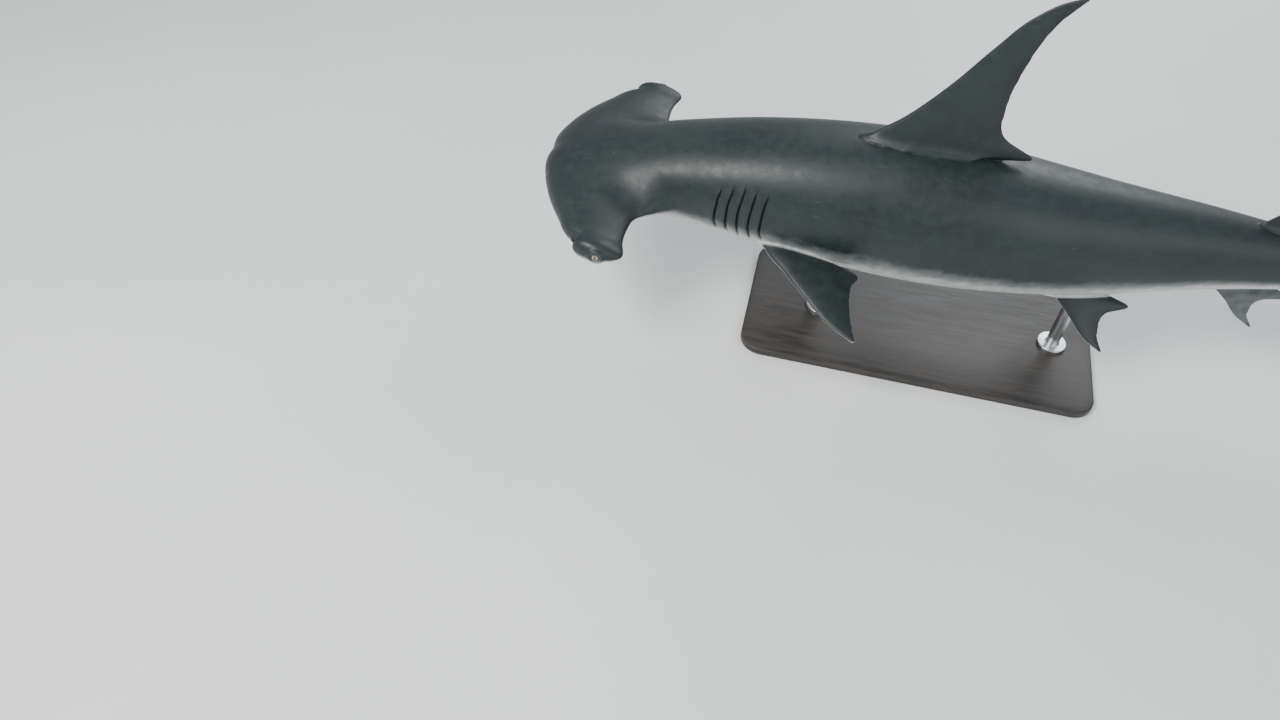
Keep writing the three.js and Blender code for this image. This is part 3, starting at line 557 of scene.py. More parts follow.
def make_trunk():
    """Head, trunk and the spine's part of the tail as one closed surface."""
    grid = head_grid()
    points, quads = surface_net(sampled(head_shell, HEAD_FEATURES, *grid), *grid)
    rim = open_rim(quads)
    points = settled(head_field, points, 0.002)
    gills_end = share(0.217)
    start = points[rim, 0].max() + 0.003
    steps = [[0, 0.0016], [gills_end, 0.0016], [gills_end + 0.06, 0.0075]]
    rows = grid_lines(start, share(SPINE_END), steps)
    rings = trunk_rings(rows)
    base = len(points)
    level = trunk_frame(np.array(start))[2]
    points = np.concatenate([points, rings.reshape(-1, 3), rings[-1].mean(0)[None]])
    j = np.arange(SIDES)
    end = base + (len(rows) - 1) * SIDES
    cap = np.stack([end + j, end + (j + 1) % SIDES, np.full(SIDES, len(points) - 1)], 1)
    seam = seam_faces(points, rim, base + j, level)
    if faces_inward(points, seam, level).mean() > 0.5:
        seam = seam[:, ::-1]
    loft = ring_faces(len(rows), SIDES, base)
    if faces_inward(points, loft[:1], level)[0]:
        loft, cap = loft[:, ::-1], cap[:, ::-1]
    return make_object("skin", posed(points), quads, seam, loft, cap)


# Fins, each as rows of [way from root to tip, back, out] for its front and rear edge, in shares
FIN_FULLNESS = 2.6
FIN_EDGE = 0.0011
EDGE_WAVE = 0.0006


def set_attribute(mesh, name, values):
    layer = mesh.attributes.new(name, "FLOAT", "POINT")
    layer.data.foreach_set("value", np.asarray(values, np.float32))


def fin_object(name, table, place, attached):
    """A fin with a fillet at its root, along the attached share of its chord."""
    lead, trail = columns(table["lead"]), columns(table["trail"])
    span_steps, chord_steps = 110, 52
    t = np.linspace(0, 1, span_steps + 1) ** 0.9
    u = (1 - np.cos(np.linspace(0, math.pi, chord_steps + 1))) / 2
    back = share(lead[0](t)[:, None] * (1 - u) + trail[0](t)[:, None] * u)
    out = share(lead[1](t)[:, None] * (1 - u) + trail[1](t)[:, None] * u)
    thick = share(table["tip"] + (table["root"] - table["tip"]) * (1 - t) ** 1.4)[:, None]
    half = thick * FIN_FULLNESS * np.sqrt(u) * (1 - u) + FIN_EDGE * np.sqrt(4 * u * (1 - u))
    middle = place(back, out, np.zeros_like(out))
    gap = trunk_field(middle[..., 0], middle[..., 1], middle[..., 2])
    radius = table["fillet"]
    near = 1 - np.clip(gap / radius, 0, 1)
    flare = radius * (1 - np.sqrt(1 - near**2)) * smooth(attached + 0.14, attached, u)
    flare = flare * smooth(-0.05, 0.02, gap)
    half = half + flare * (4 * u * (1 - u)) ** 0.6
    half = half * smooth(-0.1, table.get("hidden", 0.0), t)[:, None]
    back = back - 1.3 * flare * (1 - u) ** 6
    ragged = np.sin(t * 83) + 0.7 * np.sin(t * 151 + 1) + 0.5 * np.sin(t * 37 + 2)
    ragged = EDGE_WAVE * ragged * smooth(0.25, 0.45, t)
    back = back + ragged[:, None] * smooth(0.8, 1, u)
    upper = place(back[:, :-1], out[:, :-1], half[:, :-1])
    lower = place(back[:, :0:-1], out[:, :0:-1], -half[:, :0:-1])
    fin = loft_object(name, posed(np.concatenate([upper, lower], 1)))
    both = np.concatenate([u[:-1], u[:0:-1]])[None, :]
    ray = 1.4 * t[:, None] - 0.6 * both
    strength = smooth(0.35, 0.8, both) * smooth(0.2, 0.45, t)[:, None]
    for label, value in (("ray", ray), ("rays", strength)):
        set_attribute(fin.data, label, np.append(value.ravel(), [0, 0]))
    return fin


def median_place(along, height, way):
    def place(back, out, sideways):
        return np.stack([share(along) + back, sideways, share(height) + way * out], -1)

    return place


def paired_place(spot, side):
    def place(back, span, sideways):
        fall = spot["droop"] + spot["curl"] * span / share(0.12)
        across = span * np.cos(fall) - sideways * np.sin(fall)
        down = span * np.sin(fall) + sideways * np.cos(fall)
        x = share(spot["along"]) + back
        y = side * (share(spot["out"]) + across)
        z = share(spot["level"]) - down - back * math.sin(spot["pitch"])
        return np.stack([x, y, z], -1)

    return place


FIRST_DORSAL = {
    "lead": [
        [0, -0.012, -0.03], [0.16, -0.001, 0.001], [0.3, 0.024, 0.026],
        [0.5, 0.052, 0.062], [0.7, 0.0755, 0.099], [0.86, 0.096, 0.128],
        [0.95, 0.1135, 0.1425], [1, 0.126, 0.148],
    ],
    "trail": [
        [0, 0.101, -0.03], [0.12, 0.107, -0.004], [0.22, 0.134, 0.003],
        [0.34, 0.107, 0.02], [0.5, 0.0995, 0.046], [0.7, 0.1035, 0.09],
        [0.86, 0.1135, 0.1235], [1, 0.1295, 0.1475],
    ],
    "root": 0.0086, "tip": 0.0012, "fillet": 0.035,
}
SECOND_DORSAL = {
    "lead": [
        [0, -0.006, -0.012], [0.2, 0, 0.001], [0.5, 0.0165, 0.021],
        [0.8, 0.031, 0.0385], [1, 0.0445, 0.0455],
    ],
    "trail": [
        [0, 0.038, -0.012], [0.14, 0.041, -0.003], [0.28, 0.0735, 0.003],
        [0.45, 0.046, 0.011], [0.7, 0.039, 0.028], [1, 0.0465, 0.045],
    ],
    "root": 0.0042, "tip": 0.0008, "fillet": 0.016,
}
ANAL = {
    "lead": [
        [0, -0.006, -0.012], [0.2, 0, 0.001], [0.5, 0.021, 0.02],
        [0.8, 0.038, 0.037], [1, 0.0535, 0.0465],
    ],
    "trail": [
        [0, 0.05, -0.012], [0.14, 0.053, -0.003], [0.28, 0.078, 0.004],
        [0.45, 0.051, 0.0125], [0.7, 0.0455, 0.03], [1, 0.0555, 0.046],
    ],
    "root": 0.0042, "tip": 0.0008, "fillet": 0.016,
}
CAUDAL_UPPER = {
    "lead": [
        [0, -0.01, -0.029], [0.12, 0.012, 0.006], [0.3, 0.066, 0.055],
        [0.55, 0.138, 0.11], [0.8, 0.204, 0.153], [0.93, 0.2425, 0.1745],
        [1, 0.2675, 0.1875],
    ],
    "trail": [
        [0, 0.078, -0.045], [0.12, 0.087, -0.024], [0.24, 0.1005, 0.002],
        [0.4, 0.138, 0.045], [0.6, 0.187, 0.092], [0.74, 0.222, 0.12],
        [0.8, 0.2235, 0.1315], [0.86, 0.2415, 0.1365], [0.94, 0.2585, 0.158],
        [1, 0.2695, 0.1865],
    ],
    "root": 0.0052, "tip": 0.0012, "fillet": 0.012,
    "hidden": 0.11,
}
CAUDAL_LOWER = {
    "lead": [
        [0, -0.004, -0.016], [0.15, 0.004, 0.002], [0.4, 0.03, 0.036],
        [0.7, 0.0625, 0.079], [0.9, 0.089, 0.1045], [1, 0.106, 0.112],
    ],
    "trail": [
        [0, 0.088, -0.034], [0.15, 0.0875, -0.009], [0.4, 0.0835, 0.029],
        [0.7, 0.09, 0.077], [0.9, 0.1025, 0.1035], [1, 0.1085, 0.111],
    ],
    "root": 0.006, "tip": 0.001, "fillet": 0.014,
    "hidden": 0.11,
}
PECTORAL = {
    "lead": [
        [0, -0.006, -0.03], [0.18, 0, 0.002], [0.4, 0.0215, 0.0265],
        [0.65, 0.045, 0.0505], [0.88, 0.069, 0.0715], [1, 0.0865, 0.0805],
    ],
    "trail": [
        [0, 0.05, -0.03], [0.12, 0.054, -0.003], [0.26, 0.083, 0.011],
        [0.4, 0.08, 0.0245], [0.65, 0.0805, 0.0465], [0.88, 0.0855, 0.069],
        [1, 0.0893, 0.0797],
    ],
    "root": 0.0078, "tip": 0.0012, "fillet": 0.03,
}
PELVIC = {
    "lead": [
        [0, -0.004, -0.018], [0.2, 0, 0.001], [0.5, 0.017, 0.0225],
        [0.8, 0.0335, 0.0415], [1, 0.0475, 0.0505],
    ],
    "trail": [
        [0, 0.042, -0.018], [0.14, 0.045, -0.003], [0.28, 0.0665, 0.0065],
        [0.45, 0.048, 0.016], [0.7, 0.0435, 0.034], [1, 0.0495, 0.05],
    ],
    "root": 0.0045, "tip": 0.0009, "fillet": 0.018,
}
PECTORAL_PLACE = {"along": 0.212, "out": 0.05, "level": -0.03}
PECTORAL_PLACE |= {"droop": 0.08, "curl": 0.14, "pitch": 0.06}
PELVIC_PLACE = {"along": 0.468, "out": 0.024, "level": -0.045}
PELVIC_PLACE |= {"droop": 0.75, "curl": 0.1, "pitch": 0.03}


def joined(base, other):
    """The union of two closed objects. The second is used up."""
    for solver in ("MANIFOLD", "EXACT"):
        modifier = base.modifiers.new("join", "BOOLEAN")
        modifier.operation = "UNION"
        modifier.solver = solver
        modifier.object = other
        ready = base.evaluated_get(bpy.context.evaluated_depsgraph_get())
        mesh = bpy.data.meshes.new_from_object(ready)
        base.modifiers.remove(modifier)
        if len(mesh.vertices) > len(base.data.vertices) * 0.8:
            break
    base.data = mesh
    bpy.data.objects.remove(other)
    return base


def make_skin():
    """The trunk with all its fins as one closed surface."""
    skin = make_trunk()
    for label in ("ray", "rays"):
        set_attribute(skin.data, label, np.zeros(len(skin.data.vertices)))
    fins = [
        ("dorsal", FIRST_DORSAL, median_place(0.281, trunk_top(0.281), 1), 0.72),
        ("second_dorsal", SECOND_DORSAL, median_place(0.617, trunk_top(0.617), 1), 0.62),
        ("anal", ANAL, median_place(0.605, trunk_bottom(0.605), -1), 0.66),
        ("tail_up", CAUDAL_UPPER, median_place(0.722, 0.0185, 1), 0.9),
        ("tail_down", CAUDAL_LOWER, median_place(0.724, -0.0165, -1), 0.2),
    ]
    for side in (-1, 1):
        fins.append(("pectoral", PECTORAL, paired_place(PECTORAL_PLACE, side), 0.66))
        fins.append(("pelvic", PELVIC, paired_place(PELVIC_PLACE, side), 0.66))
    for name, table, place, attached in fins:
        joined(skin, fin_object(name, table, place, attached))
    skin.data.shade_smooth()
    return skin


def read_vectors(items, what):
    values = np.empty(len(items) * 3, np.float32)
    items.foreach_get(what, values)
    return values.reshape(-1, 3).astype(float)


def shell_facing(x, y, z):
    """How far the head's plain shell, without its details, faces up."""
    slope = field_slope(head_shell, x, y, z, 0.003)
    return slope[:, 2] / np.maximum(np.linalg.norm(slope, axis=1), 1e-6)


def paint_masks(skin):
    """Where the skin is pale, where painted shade darkens the gill slits, nostril holes and front
    groove, where the mouth is, and where it has pores.
    """
    mesh = skin.data
    x, y, z = straightened(read_vectors(mesh.vertices, "co")).T
    facing = read_vectors(mesh.vertex_normals, "vector")[:, 2]
    along = x / LENGTH
    half_width, half_height, level = trunk_frame(x)
    height = (z - level) / half_height
    flank = smooth(-0.02, -0.78, height)
    by_facing = smooth(0.12, -0.6, shell_facing(x, y, z))
    outside = trunk_field(x, y, z)
    on_side = np.abs(y) > half_width * 0.45
    paired = smooth(0.0065, 0.018, outside) * on_side * (along > 0.19) * (along < 0.56)
    head = smooth(0.14, 0.1, along)
    pale = flank * (1 - head) + by_facing * head
    pale = pale * (1 - paired) + smooth(0.15, -0.45, facing) * 0.92 * paired
    below = (height < -1) & (along > 0.56)
    median = smooth(0.003, 0.02, outside) * (np.abs(y) < half_width * 0.45 + 0.01)
    pale = np.where(below & (median > 0), pale * (1 - median) + 0.3 * median, pale)
    pale = pale + (np.minimum(pale, 0.08) - pale) * smooth(0.71, 0.76, along)
    beside = np.arctan2((z - level) / half_height, np.abs(y) / half_width)
    _, depth = gill_relief(x, beside)
    depth = depth * (outside < 0.01) * (along < 0.23)
    ahead, opening = mouth_distance(x, y)
    shell = head_shell(x, y, z)
    mouth = (np.abs(ahead) < MOUTH_OPENING / 2 * opening + 0.001) & (x < MOUTH_BACK) & (z < -0.07)
    mouth = mouth * smooth(-0.002, -0.008, shell)
    dx, dz = x - EYE_ALONG, z - HAMMER_LEVEL
    eye = bump(np.maximum(np.hypot(dx, dz) - 0.022, 0), 0.008) * (np.abs(y) > 0.5)
    a, b, c = nostril_frame(x, y, z)
    hole = np.sqrt((a / 0.018) ** 2 + (b / 0.025) ** 2 + (c / 0.0068) ** 2)
    # Painted shade: the gill slits, the nostril holes and, more faintly, the groove along the hammer's
    # front are darkened as if in shadow.
    recess_shade = np.maximum(depth, smooth(1.05, 0.6, hole))
    recess_shade = np.maximum(recess_shade, 0.62 * front_groove(x, y, c))
    pores = smooth(0.075, 0.03, along) + by_facing * smooth(0.11, 0.06, along)
    masks = {"pale": pale, "slit": recess_shade, "mouth": mouth, "lid": eye, "pores": np.clip(pores, 0, 1)}
    for name, values in masks.items():
        set_attribute(mesh, name, values)


# Colours of the hide
BACK_DARK = (0.0085, 0.0145, 0.0165, 1)
BACK_LIGHT = (0.0165, 0.025, 0.026, 1)
BACK_MOTTLE = (0.026, 0.0365, 0.0365, 1)
BACK_STREAK = (0.008, 0.013, 0.0145, 1)
FLANK = (0.17, 0.19, 0.185, 1)
BELLY_DULL = (0.53, 0.545, 0.52, 1)
BELLY_CLEAN = (0.64, 0.65, 0.61, 1)
BELLY_WARM = (0.56, 0.51, 0.47, 1)
SPECK = (0.3, 0.32, 0.3, 1)
SCAR = (0.2, 0.22, 0.215, 1)
PORE = (0.03, 0.036, 0.036, 1)
EYELID = (0.05, 0.055, 0.055, 1)
# Painted shade for the gill slits, nostril holes and the groove along the hammer's front
RECESS_SHADE = (0.013, 0.011, 0.012, 1)
MOUTH_INSIDE = (0.2, 0.1, 0.09, 1)
GRAIN = (0.012, 0.015, 0.015, 1)
SCRATCHES = [[(0.2, 0.35, 0.15), (1.6, 60.0, 60.0)], [(0.5, -0.4, -0.5), (2.4, 90.0, 90.0)]]


def socket(target, value):
    """Links a value that is a socket to the target, and sets any other value on it."""
    if isinstance(value, bpy.types.NodeSocket):
        target.id_data.links.new(value, target)
    else:
        target.default_value = value


def node(tree, kind, inputs, **settings):
    """Adds a node to the tree, and gives its outputs."""
    made = tree.nodes.new("ShaderNode" + kind)
    for key, value in settings.items():
        setattr(made, key, value)
    for key, value in inputs.items():
        socket(made.inputs[key], value)
    return made.outputs


def maths(operation, a, b):
    return node(a.id_data, "Math", {0: a, 1: b}, operation=operation)[0]


def times(a, b):
    return maths("MULTIPLY", a, b)


def ranged(value, low, high, to_low=0.0, to_high=1.0):
    inputs = {0: value, 1: low, 2: high, 3: to_low, 4: to_high}
    return node(value.id_data, "MapRange", inputs, interpolation_type="SMOOTHSTEP")[0]


def blend(factor, a, b):
    return node(factor.id_data, "Mix", {0: factor, 6: a, 7: b}, data_type="RGBA")[2]


def tint(colour, other, value, low, high, strength=1.0):
    """A colour that turns into another as the value goes from low to high."""
    return blend(ranged(value, low, high, 0.0, strength), colour, other)


def noise(where, scale, detail=4.0, rough=0.55, distortion=0.0):
    inputs = {"Vector": where, "Scale": scale, "Detail": detail}
    inputs |= {"Roughness": rough, "Distortion": distortion}
    return node(where.id_data, "TexNoise", inputs)[0]


def cells(where, scale, randomness=1.0):
    inputs = {"Vector": where, "Scale": scale, "Randomness": randomness}
    return node(where.id_data, "TexVoronoi", inputs)[0]


def stretched(where, scale, turn=(0, 0, 0)):
    inputs = {"Vector": where, "Scale": scale, "Rotation": turn}
    return node(where.id_data, "Mapping", inputs)[0]


def raised(height, distance, strength, normal=None):
    inputs = {"Height": height, "Distance": distance, "Strength": strength}
    if normal is not None:
        inputs["Normal"] = normal
    return node(height.id_data, "Bump", inputs)[0]


def attribute(tree, name):
    return node(tree, "Attribute", {}, attribute_name=name)["Fac"]


def new_material(name):
    """A material with its node tree, its shader and the place on the object."""
    material = bpy.data.materials.new(name)
    material.use_nodes = True
    tree = material.node_tree
    where = node(tree, "TexCoord", {})["Object"]
    return material, tree, tree.nodes["Principled BSDF"], where


def set_look(shader, colour, rough, **others):
    """Sets or links the shader's inputs. Others are named as in Blender, with _ for a space."""
    for name, value in ({"Base_Color": colour, "Roughness": rough} | others).items():
        socket(shader.inputs[name.replace("_", " ")], value)


def hide_colour(tree, where, patches, streaks, mottle):
    """Dark back, pale belly and the wandering edge between them, without marks."""
    back = tint(BACK_DARK, BACK_LIGHT, patches, 0.34, 0.68)
    back = tint(back, BACK_MOTTLE, mottle, 0.4, 0.75, 0.5)
    back = tint(back, BACK_STREAK, streaks, 0.5, 0.75, 0.4)
    belly = tint(BELLY_DULL, BELLY_CLEAN, mottle, 0.35, 0.7)
    belly = tint(belly, BELLY_WARM, patches, 0.5, 0.8, 0.3)
    wander = times(maths("SUBTRACT", mottle, 0.5), 0.4)
    drift = times(maths("SUBTRACT", patches, 0.5), 0.2)
    edge = maths("ADD", maths("ADD", wander, drift), attribute(tree, "pale"))
    return tint(tint(back, FLANK, edge, 0.12, 0.55), belly, edge, 0.42, 0.86)


def scratches(where):
    """Thin pale scars in two directions, in a few places only."""
    scratch = 0.0
    for turn, scale in SCRATCHES:
        mark = cells(stretched(where, scale, turn), 1.5)
        mark = times(ranged(mark, 0.11, 0.05), 0.26)
        scratch = maths("MAXIMUM", mark, scratch)
    return times(scratch, ranged(noise(where, 6.0, 2.0), 0.55, 0.63))


def skin_material():
    material, tree, shader, where = new_material("shark_hide")
    patches = noise(where, 3.2, 5.0, 0.6)
    streaks = noise(stretched(where, (2.0, 9.0, 9.0)), 3.0, 5.0, 0.6)
    mottle = noise(where, 26.0, 6.0, 0.65)
    grain = noise(where, 380.0, 3.0, 0.6)
    colour = hide_colour(tree, where, patches, streaks, mottle)
    speck = ranged(cells(where, 70.0), 0.12, 0.05, 0.0, 0.2)
    colour = blend(times(speck, ranged(streaks, 0.5, 0.62)), colour, SPECK)
    scratch = scratches(where)
    colour = blend(scratch, colour, SCAR)
    pore = ranged(cells(where, 95.0, 0.8), 0.15, 0.07)
    pore = times(pore, attribute(tree, "pores"))
    colour = blend(times(pore, 0.65), colour, PORE)
    colour = tint(colour, EYELID, attribute(tree, "lid"), 0.35, 1.0, 0.5)
    # Painted shade: near black in the gill slits, nostril holes and front groove
    colour = tint(colour, RECESS_SHADE, attribute(tree, "slit"), 0.3, 0.95, 0.88)
    colour = tint(colour, MOUTH_INSIDE, attribute(tree, "mouth"), 0.05, 0.9)
    colour = tint(colour, GRAIN, grain, 0.3, 0.7, 0.16)
    normal = raised(cells(stretched(where, (0.6, 1.0, 1.0)), 620.0), 0.0005, 0.35)
    normal = raised(grain, 0.0006, 0.3, normal)
    normal = raised(noise(where, 60.0, 4.0), 0.0016, 0.22, normal)
    fibre = node(tree, "CombineXYZ", {0: times(attribute(tree, "ray"), 75.0)})[0]
    fibre = times(noise(fibre, 1.0, 2.0), attribute(tree, "rays"))
    normal = raised(fibre, 0.002, 0.5, normal)
    normal = raised(scratch, -0.0015, 0.6, normal)
    normal = raised(pore, -0.001, 0.5, normal)
    coat = {"Coat_Weight": 0.1, "Coat_Roughness": 0.28, "Specular_IOR_Level": 0.36}
    set_look(shader, colour, ranged(mottle, 0.3, 0.7, 0.4, 0.56), Normal=normal, **coat)
    return material


def eye_material():
    material, tree, shader, _ = new_material("shark_eye")
    radius = attribute(tree, "iris")
    spoke = node(tree, "CombineXYZ", {0: attribute(tree, "spoke"), 1: radius})[0]
    fibre = noise(spoke, 14.0, 5.0)
    iris = tint((0.2, 0.15, 0.07, 1), (0.55, 0.47, 0.3, 1), fibre, 0.35, 0.65)
    iris = tint(iris, (0.05, 0.045, 0.035, 1), radius, 0.6, 0.95)
    colour = tint(iris, (0.002, 0.002, 0.003, 1), attribute(tree, "pupil"), 1.08, 0.94)
    colour = tint(colour, (0.1, 0.1, 0.095, 1), radius, 1.0, 1.25)
    coat = {"Coat_Weight": 1.0, "Coat_Roughness": 0.03, "Normal": raised(fibre, 0.0004, 0.25)}
    set_look(shader, colour, ranged(fibre, 0.3, 0.7, 0.12, 0.2), **coat)
    return material


def tooth_material():
    material, _, shader, where = new_material("tooth_enamel")
    shade = noise(where, 160.0, 3.0)
    colour = tint((0.62, 0.58, 0.48, 1), (0.8, 0.78, 0.7, 1), shade, 0.3, 0.7)
    rough = ranged(shade, 0.3, 0.7, 0.18, 0.3)
    set_look(shader, colour, rough, Normal=raised(shade, 0.0003, 0.4))
    return material


def base_material():
    material, _, shader, where = new_material("dark_stained_wood")
    rings = noise(stretched(where, (1.2, 14.0, 14.0)), 3.0, 6.0, 0.6, 1.2)
    pores = noise(stretched(where, (6.0, 160.0, 160.0)), 4.0, 3.0, 0.6)
    colour = tint((0.014, 0.012, 0.011, 1), (0.04, 0.034, 0.03, 1), rings, 0.35, 0.65)
    colour = tint(colour, (0.006, 0.005, 0.005, 1), pores, 0.55, 0.7, 0.7)
    rough = ranged(rings, 0.3, 0.7, 0.42, 0.54)
    normal = raised(rings, 0.0008, 0.2, raised(pores, 0.0006, 0.35))
    set_look(shader, colour, rough, Normal=normal, Coat_Weight=0.06, Coat_Roughness=0.3)
    return material


def rod_material():
    material, _, shader, where = new_material("brushed_steel")
    brushing = noise(stretched(where, (40.0, 40.0, 900.0)), 2.0, 3.0)
    stains = noise(where, 30.0, 3.0)
    colour = tint((0.5, 0.51, 0.52, 1), (0.68, 0.69, 0.7, 1), brushing, 0.3, 0.7)
    rough = ranged(brushing, 0.3, 0.7, 0.26, 0.36)
    rough = maths("ADD", rough, times(stains, 0.06))
    set_look(shader, colour, rough, Metallic=1.0, Normal=raised(brushing, 0.0002, 0.3))
    return material


# Eyes and teeth
IRIS_RADIUS = 0.0135
PUPIL_HALF_WIDTH, PUPIL_HALF_HEIGHT = 0.0042, 0.0088
BEHIND = 3


def make_eye(name, side):
    """A ball with a slightly raised cornea, and where its iris, spokes and pupil are."""
    rows, around = 48, 72
    polar = np.linspace(0, math.pi, rows + 1)[1:-1][:, None]
    turn = np.linspace(0, 2 * math.pi, around, endpoint=False)[None, :]
    cornea = 1 + 0.035 * bump(polar, 0.55)
    radius = EYE_RADIUS * cornea * 0.985
    x = radius * np.sin(polar) * np.cos(turn)
    y = side * radius * np.cos(polar) * np.ones_like(turn)
    z = radius * np.sin(polar) * np.sin(turn)
    centre = np.array([EYE_ALONG, side * EYE_OUT, HAMMER_LEVEL])
    eye = loft_object(name, posed(np.stack([x, y, z], -1) + centre))
    eye.data.shade_smooth()
    dx, dy, dz = (straightened(read_vectors(eye.data.vertices, "co")) - centre).T
    across = np.hypot(dx, dz)
    outer = dy * side > 0
    spoke = np.cos(np.arctan2(dz, dx) * 3) * 2 + np.arctan2(dz, np.abs(dx)) * 3
    pupil = np.hypot(dx / PUPIL_HALF_WIDTH, dz / PUPIL_HALF_HEIGHT)
    set_attribute(eye.data, "iris", np.where(outer, across / IRIS_RADIUS, BEHIND))
    set_attribute(eye.data, "spoke", spoke)
    set_attribute(eye.data, "pupil", np.where(outer, pupil, BEHIND))
    return eye


def underside(x, y):
    z = -np.full(np.shape(x), 0.21)
    for _ in range(60):
        z = z + np.clip(head_shell(x, y, z), 0, 0.01)
    return z


def mouth_line(t):
    angle = math.pi * (t - 0.5)
    x = MOUTH_FRONT + (MOUTH_BACK - MOUTH_FRONT) * (1 - np.cos(angle) ** 0.8)
    y = MOUTH_HALF_WIDTH * np.sin(angle)
    ahead = np.stack([-np.cos(angle), np.sin(angle) * 0.85], -1)
    return x, y, ahead / np.linalg.norm(ahead, axis=-1, keepdims=True)


TOOTH_COUNT, TOOTH_HEIGHT, TOOTH_WIDTH, TOOTH_ROOT, TOOTH_UP = 15, 0.015, 0.013, 0.009, 0.0105


def make_teeth():
    """A row of upper teeth and, behind it, the points of a second row."""
    rng = np.random.default_rng(7)
    points, faces = [], []
    heights = np.array([-1.0, -0.2, 0.0, 0.15, 0.32, 0.5, 0.68, 0.84, 1.0])
    around = 16
    for row, (shift, offset, size_row) in enumerate(((0.5, -0.001, 1.0), (0.0, -0.0045, 0.8))):
        for i in range(TOOTH_COUNT + row):
            t = 0.13 + 0.74 * (i + shift) / TOOTH_COUNT
            x, y, ahead = mouth_line(np.array(t))
            side = np.array([-ahead[1], ahead[0]])
            size = (0.6 + 0.4 * math.sin(math.pi * t)) * size_row * (0.93 + 0.14 * rng.random())
            lean = (t - 0.5) * TOOTH_WIDTH * 0.7
            edge = MOUTH_OPENING / 2 + offset
            top = float(underside(x, y)) + TOOTH_UP + 0.002 * row
            start = len(points)
            for h in heights:
                root = h < 0
                narrow = 1.0 if root else max(0.02, (1 - h) ** 0.85)
                width = TOOTH_WIDTH * size * narrow / 2
                thick = 0.0024 * size * (1 if root else (1 - h) ** 0.6 + 0.02)
                down = TOOTH_ROOT * h if root else TOOTH_HEIGHT * size * h
                move = 0 if root else -lean * h**1.4
                for k in range(around):
                    a = 2 * math.pi * k / around
                    s = width * math.copysign(abs(math.cos(a)) ** 0.8, math.cos(a)) + move
                    d = thick * math.sin(a) * (0.6 if math.sin(a) > 0 else 1.0) - 0.004 * max(h, 0)
                    spot = np.array([x, y]) + side * s + ahead * (edge + d)
                    points.append((spot[0], spot[1], top - down))
            faces += ring_faces(len(heights), around, start).tolist()
            faces.append(list(range(start, start + around))[::-1])
            faces.append(list(range(len(points) - around, len(points))))
    mesh = bpy.data.meshes.new("teeth")
    mesh.from_pydata(posed(np.array(points)).tolist(), [], faces)
    mesh.shade_smooth()
    return placed("teeth", mesh)


# Stand
BASE_LENGTH, BASE_WIDTH, BASE_THICKNESS, BASE_CORNER, BASE_EDGE = 1.4, 0.64, 0.032, 0.09, 0.006
BASE_FLAT_INSET = 0.03
ROD_RADIUS, COLLAR_RADIUS, COLLAR_HEIGHT = 0.026, 0.058, 0.014
COLLAR_EDGE, ROD_FILLET, ROD_IN_BODY = 0.004, 0.005, 0.03


def rounded_ring(inset, z):
    """The base's outline, drawn in by the inset, at a height."""
    corner = BASE_CORNER - inset
    steps = 14
    ring = []
    for quarter, (sx, sy) in enumerate(((1, 1), (-1, 1), (-1, -1), (1, -1))):
        for i in range(steps + 1):
            angle = math.pi / 2 * (quarter + i / steps)
            x = sx * (BASE_LENGTH / 2 - BASE_CORNER) + corner * math.cos(angle)
            y = sy * (BASE_WIDTH / 2 - BASE_CORNER) + corner * math.sin(angle)
            ring.append((x, y, z))
    return ring


def quarter_turn(steps=6):
    """Pairs of 1 - sin and 1 - cos over a right angle, for rounded edges."""
    angles = [math.pi / 2 * i / steps for i in range(steps + 1)]
    return [(1 - math.sin(a), 1 - math.cos(a)) for a in angles]


def make_base():
    rows = [[BASE_FLAT_INSET, 0.0]]
    rows += [[BASE_EDGE * s, BASE_EDGE * c] for s, c in quarter_turn()]
    rows += [[BASE_EDGE * c, BASE_THICKNESS - BASE_EDGE * s] for s, c in quarter_turn()]
    rows.append([BASE_FLAT_INSET, BASE_THICKNESS])
    return loft_object("base_plate", np.array([rounded_ring(inset, z) for inset, z in rows]))


def make_rod(name, along):
    x, y, _ = posed(np.array([share(along), 0, 0]))
    top = AXIS_HEIGHT + share(trunk_bottom(along)) + ROD_IN_BODY
    foot = BASE_THICKNESS
    collar_top = foot + COLLAR_HEIGHT
    rows = [[0.004, foot], [COLLAR_RADIUS, foot]]
    rows += [[COLLAR_RADIUS - COLLAR_EDGE * c, collar_top - COLLAR_EDGE * s] for s, c in quarter_turn()]
    rows += [[ROD_RADIUS + ROD_FILLET * s, collar_top + ROD_FILLET * c] for s, c in quarter_turn()]
    rows += [[ROD_RADIUS, z] for z in np.linspace(foot + 0.04, top, 12)]
    turn = np.linspace(0, 2 * math.pi, 72, endpoint=False)[None, :]
    radius, height = [values[:, None] for values in np.array(rows).T]
    ring_x, ring_y = x + radius * np.cos(turn), y + radius * np.sin(turn)
    return loft_object(name, np.stack([ring_x, ring_y, np.broadcast_to(height, ring_x.shape)], -1))


def shade_by_angle(piece, degrees):
    piece.data.shade_smooth()
    piece.data.set_sharp_from_angle(angle=math.radians(degrees))


# The whole
FLESH = ["head", "gill_region", "torso", "hind_body", "tail_stem"]
FLESH += ["first_dorsal_fin", "second_dorsal_fin", "anal_fin"]
FLESH += ["tail_fin_upper_lobe", "tail_fin_lower_lobe"]
FLESH += [f"{fin}_fin_{side}" for fin in ("pectoral", "pelvic") for side in ("left", "right")]


def dress(piece, material, slot, *nodes):
    piece.data.materials.clear()
    piece.data.materials.append(material)
    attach(piece, "root")
    if nodes:
        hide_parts(*nodes)


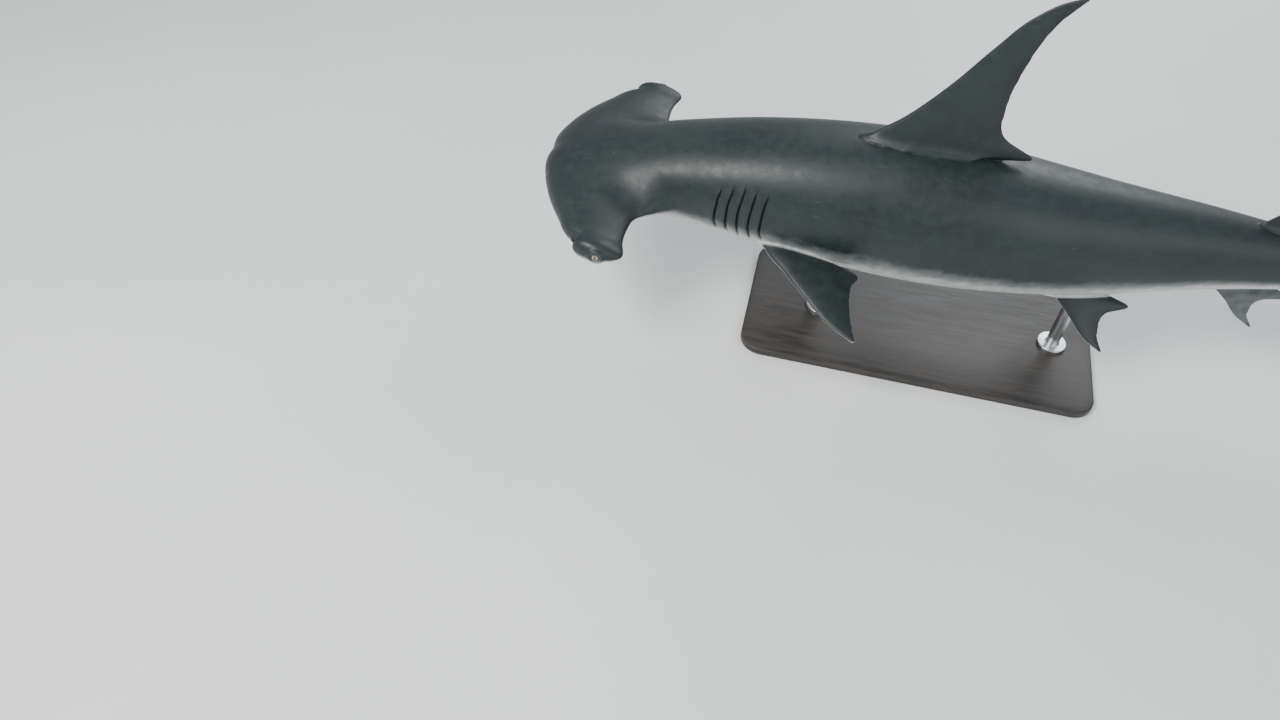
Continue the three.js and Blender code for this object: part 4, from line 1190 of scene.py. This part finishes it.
skin = make_skin()
paint_masks(skin)
dress(skin, skin_material(), "skin", *FLESH)
dress(make_teeth(), tooth_material(), "skin")
eye_look = eye_material()
for side, word in ((-1, "left"), (1, "right")):
    dress(make_eye("eyeball_" + word, side), eye_look, "eye", "eye_" + word)
base = make_base()
shade_by_angle(base, 30)
dress(base, base_material(), "base", "stand_base")
steel = rod_material()
for word, along in (("front", 0.275), ("rear", 0.5)):
    rod = make_rod("rod_" + word, along)
    shade_by_angle(rod, 40)
    dress(rod, steel, "rod", "stand_rod_" + word)


# Room, light and camera
FLOOR_REACH, FLOOR_GAP = 40.0, 0.0005
LIGHT_TARGET = (0.0, 0.0, 0.6)
# Name, place, size, energy and colour of each light
LIGHTS = [
    ["key", (-3.4, -3.2, 5.4), 3.0, 470, (1.0, 0.98, 0.95)],
    ["fill", (4.2, -4.6, 3.6), 5.0, 150, (0.93, 0.97, 1.0)],
    ["back", (1.5, 5.2, 4.2), 4.0, 220, (0.95, 0.98, 1.0)],
]
WORLD_COLOUR, WORLD_STRENGTH = (0.9, 0.95, 1.0, 1), 0.62
CAMERA_PLACE = (-0.584, -3.2, 3.151)
YAW_PITCH_ROLL = (-10, 48.7, 4.1)
FOCAL_PIXELS, FRAME_PIXELS, SENSOR_WIDTH = 1057, 1280, 36


def turned(right, up, back):
    """The rotation that takes x, y and z to these directions."""
    return Matrix(np.stack([right, up, back], 1).tolist()).to_euler()


def make_floor():
    """A wide floor that is part of the room, a little below the base's underside."""
    material, _, shader, where = new_material("pale_floor")
    colour = tint((0.72, 0.74, 0.74, 1), (0.77, 0.785, 0.78, 1), noise(where, 0.6), 0.3, 0.7)
    set_look(shader, colour, ranged(noise(where, 40.0), 0.3, 0.7, 0.55, 0.65))
    mesh = bpy.data.meshes.new("floor")
    far = FLOOR_REACH
    corners = [(-far, -far, 0), (far, -far, 0), (far, far, 0), (-far, far, 0)]
    mesh.from_pydata(corners, [], [(0, 1, 2, 3)])
    mesh.materials.append(material)
    floor = placed("floor", mesh)
    floor.location.z = -FLOOR_GAP


def area_light(name, place, size, energy, colour):
    data = bpy.data.lights.new(name, "AREA")
    data.shape = "DISK"
    data.size = size
    data.energy = energy
    data.color = colour
    lamp = placed(name, data)
    lamp.location = place
    way = np.array(LIGHT_TARGET) - np.array(place)
    way /= np.linalg.norm(way)
    side = np.cross(way, [0, 0, 1])
    side /= np.linalg.norm(side)
    lamp.rotation_euler = turned(side, np.cross(side, way), -way)


def make_camera():
    yaw, pitch, roll = np.radians(YAW_PITCH_ROLL)
    flat = math.cos(pitch)
    forward = np.array([math.sin(yaw) * flat, math.cos(yaw) * flat, -math.sin(pitch)])
    level = np.array([math.cos(yaw), -math.sin(yaw), 0])
    above = np.cross(level, forward)
    right = math.cos(roll) * level + math.sin(roll) * above
    up = -math.sin(roll) * level + math.cos(roll) * above
    data = bpy.data.cameras.new("camera")
    data.sensor_width = SENSOR_WIDTH
    data.lens = SENSOR_WIDTH * FOCAL_PIXELS / FRAME_PIXELS
    data.clip_end = 200
    camera = placed("camera", data)
    camera.location = CAMERA_PLACE
    camera.rotation_euler = turned(right, up, -forward)
    bpy.context.scene.camera = camera


make_floor()
for light in LIGHTS:
    area_light(*light)
world = bpy.data.worlds.new("studio")
world.use_nodes = True
background = world.node_tree.nodes["Background"]
background.inputs[0].default_value = WORLD_COLOUR
background.inputs[1].default_value = WORLD_STRENGTH
bpy.context.scene.world = world
make_camera()
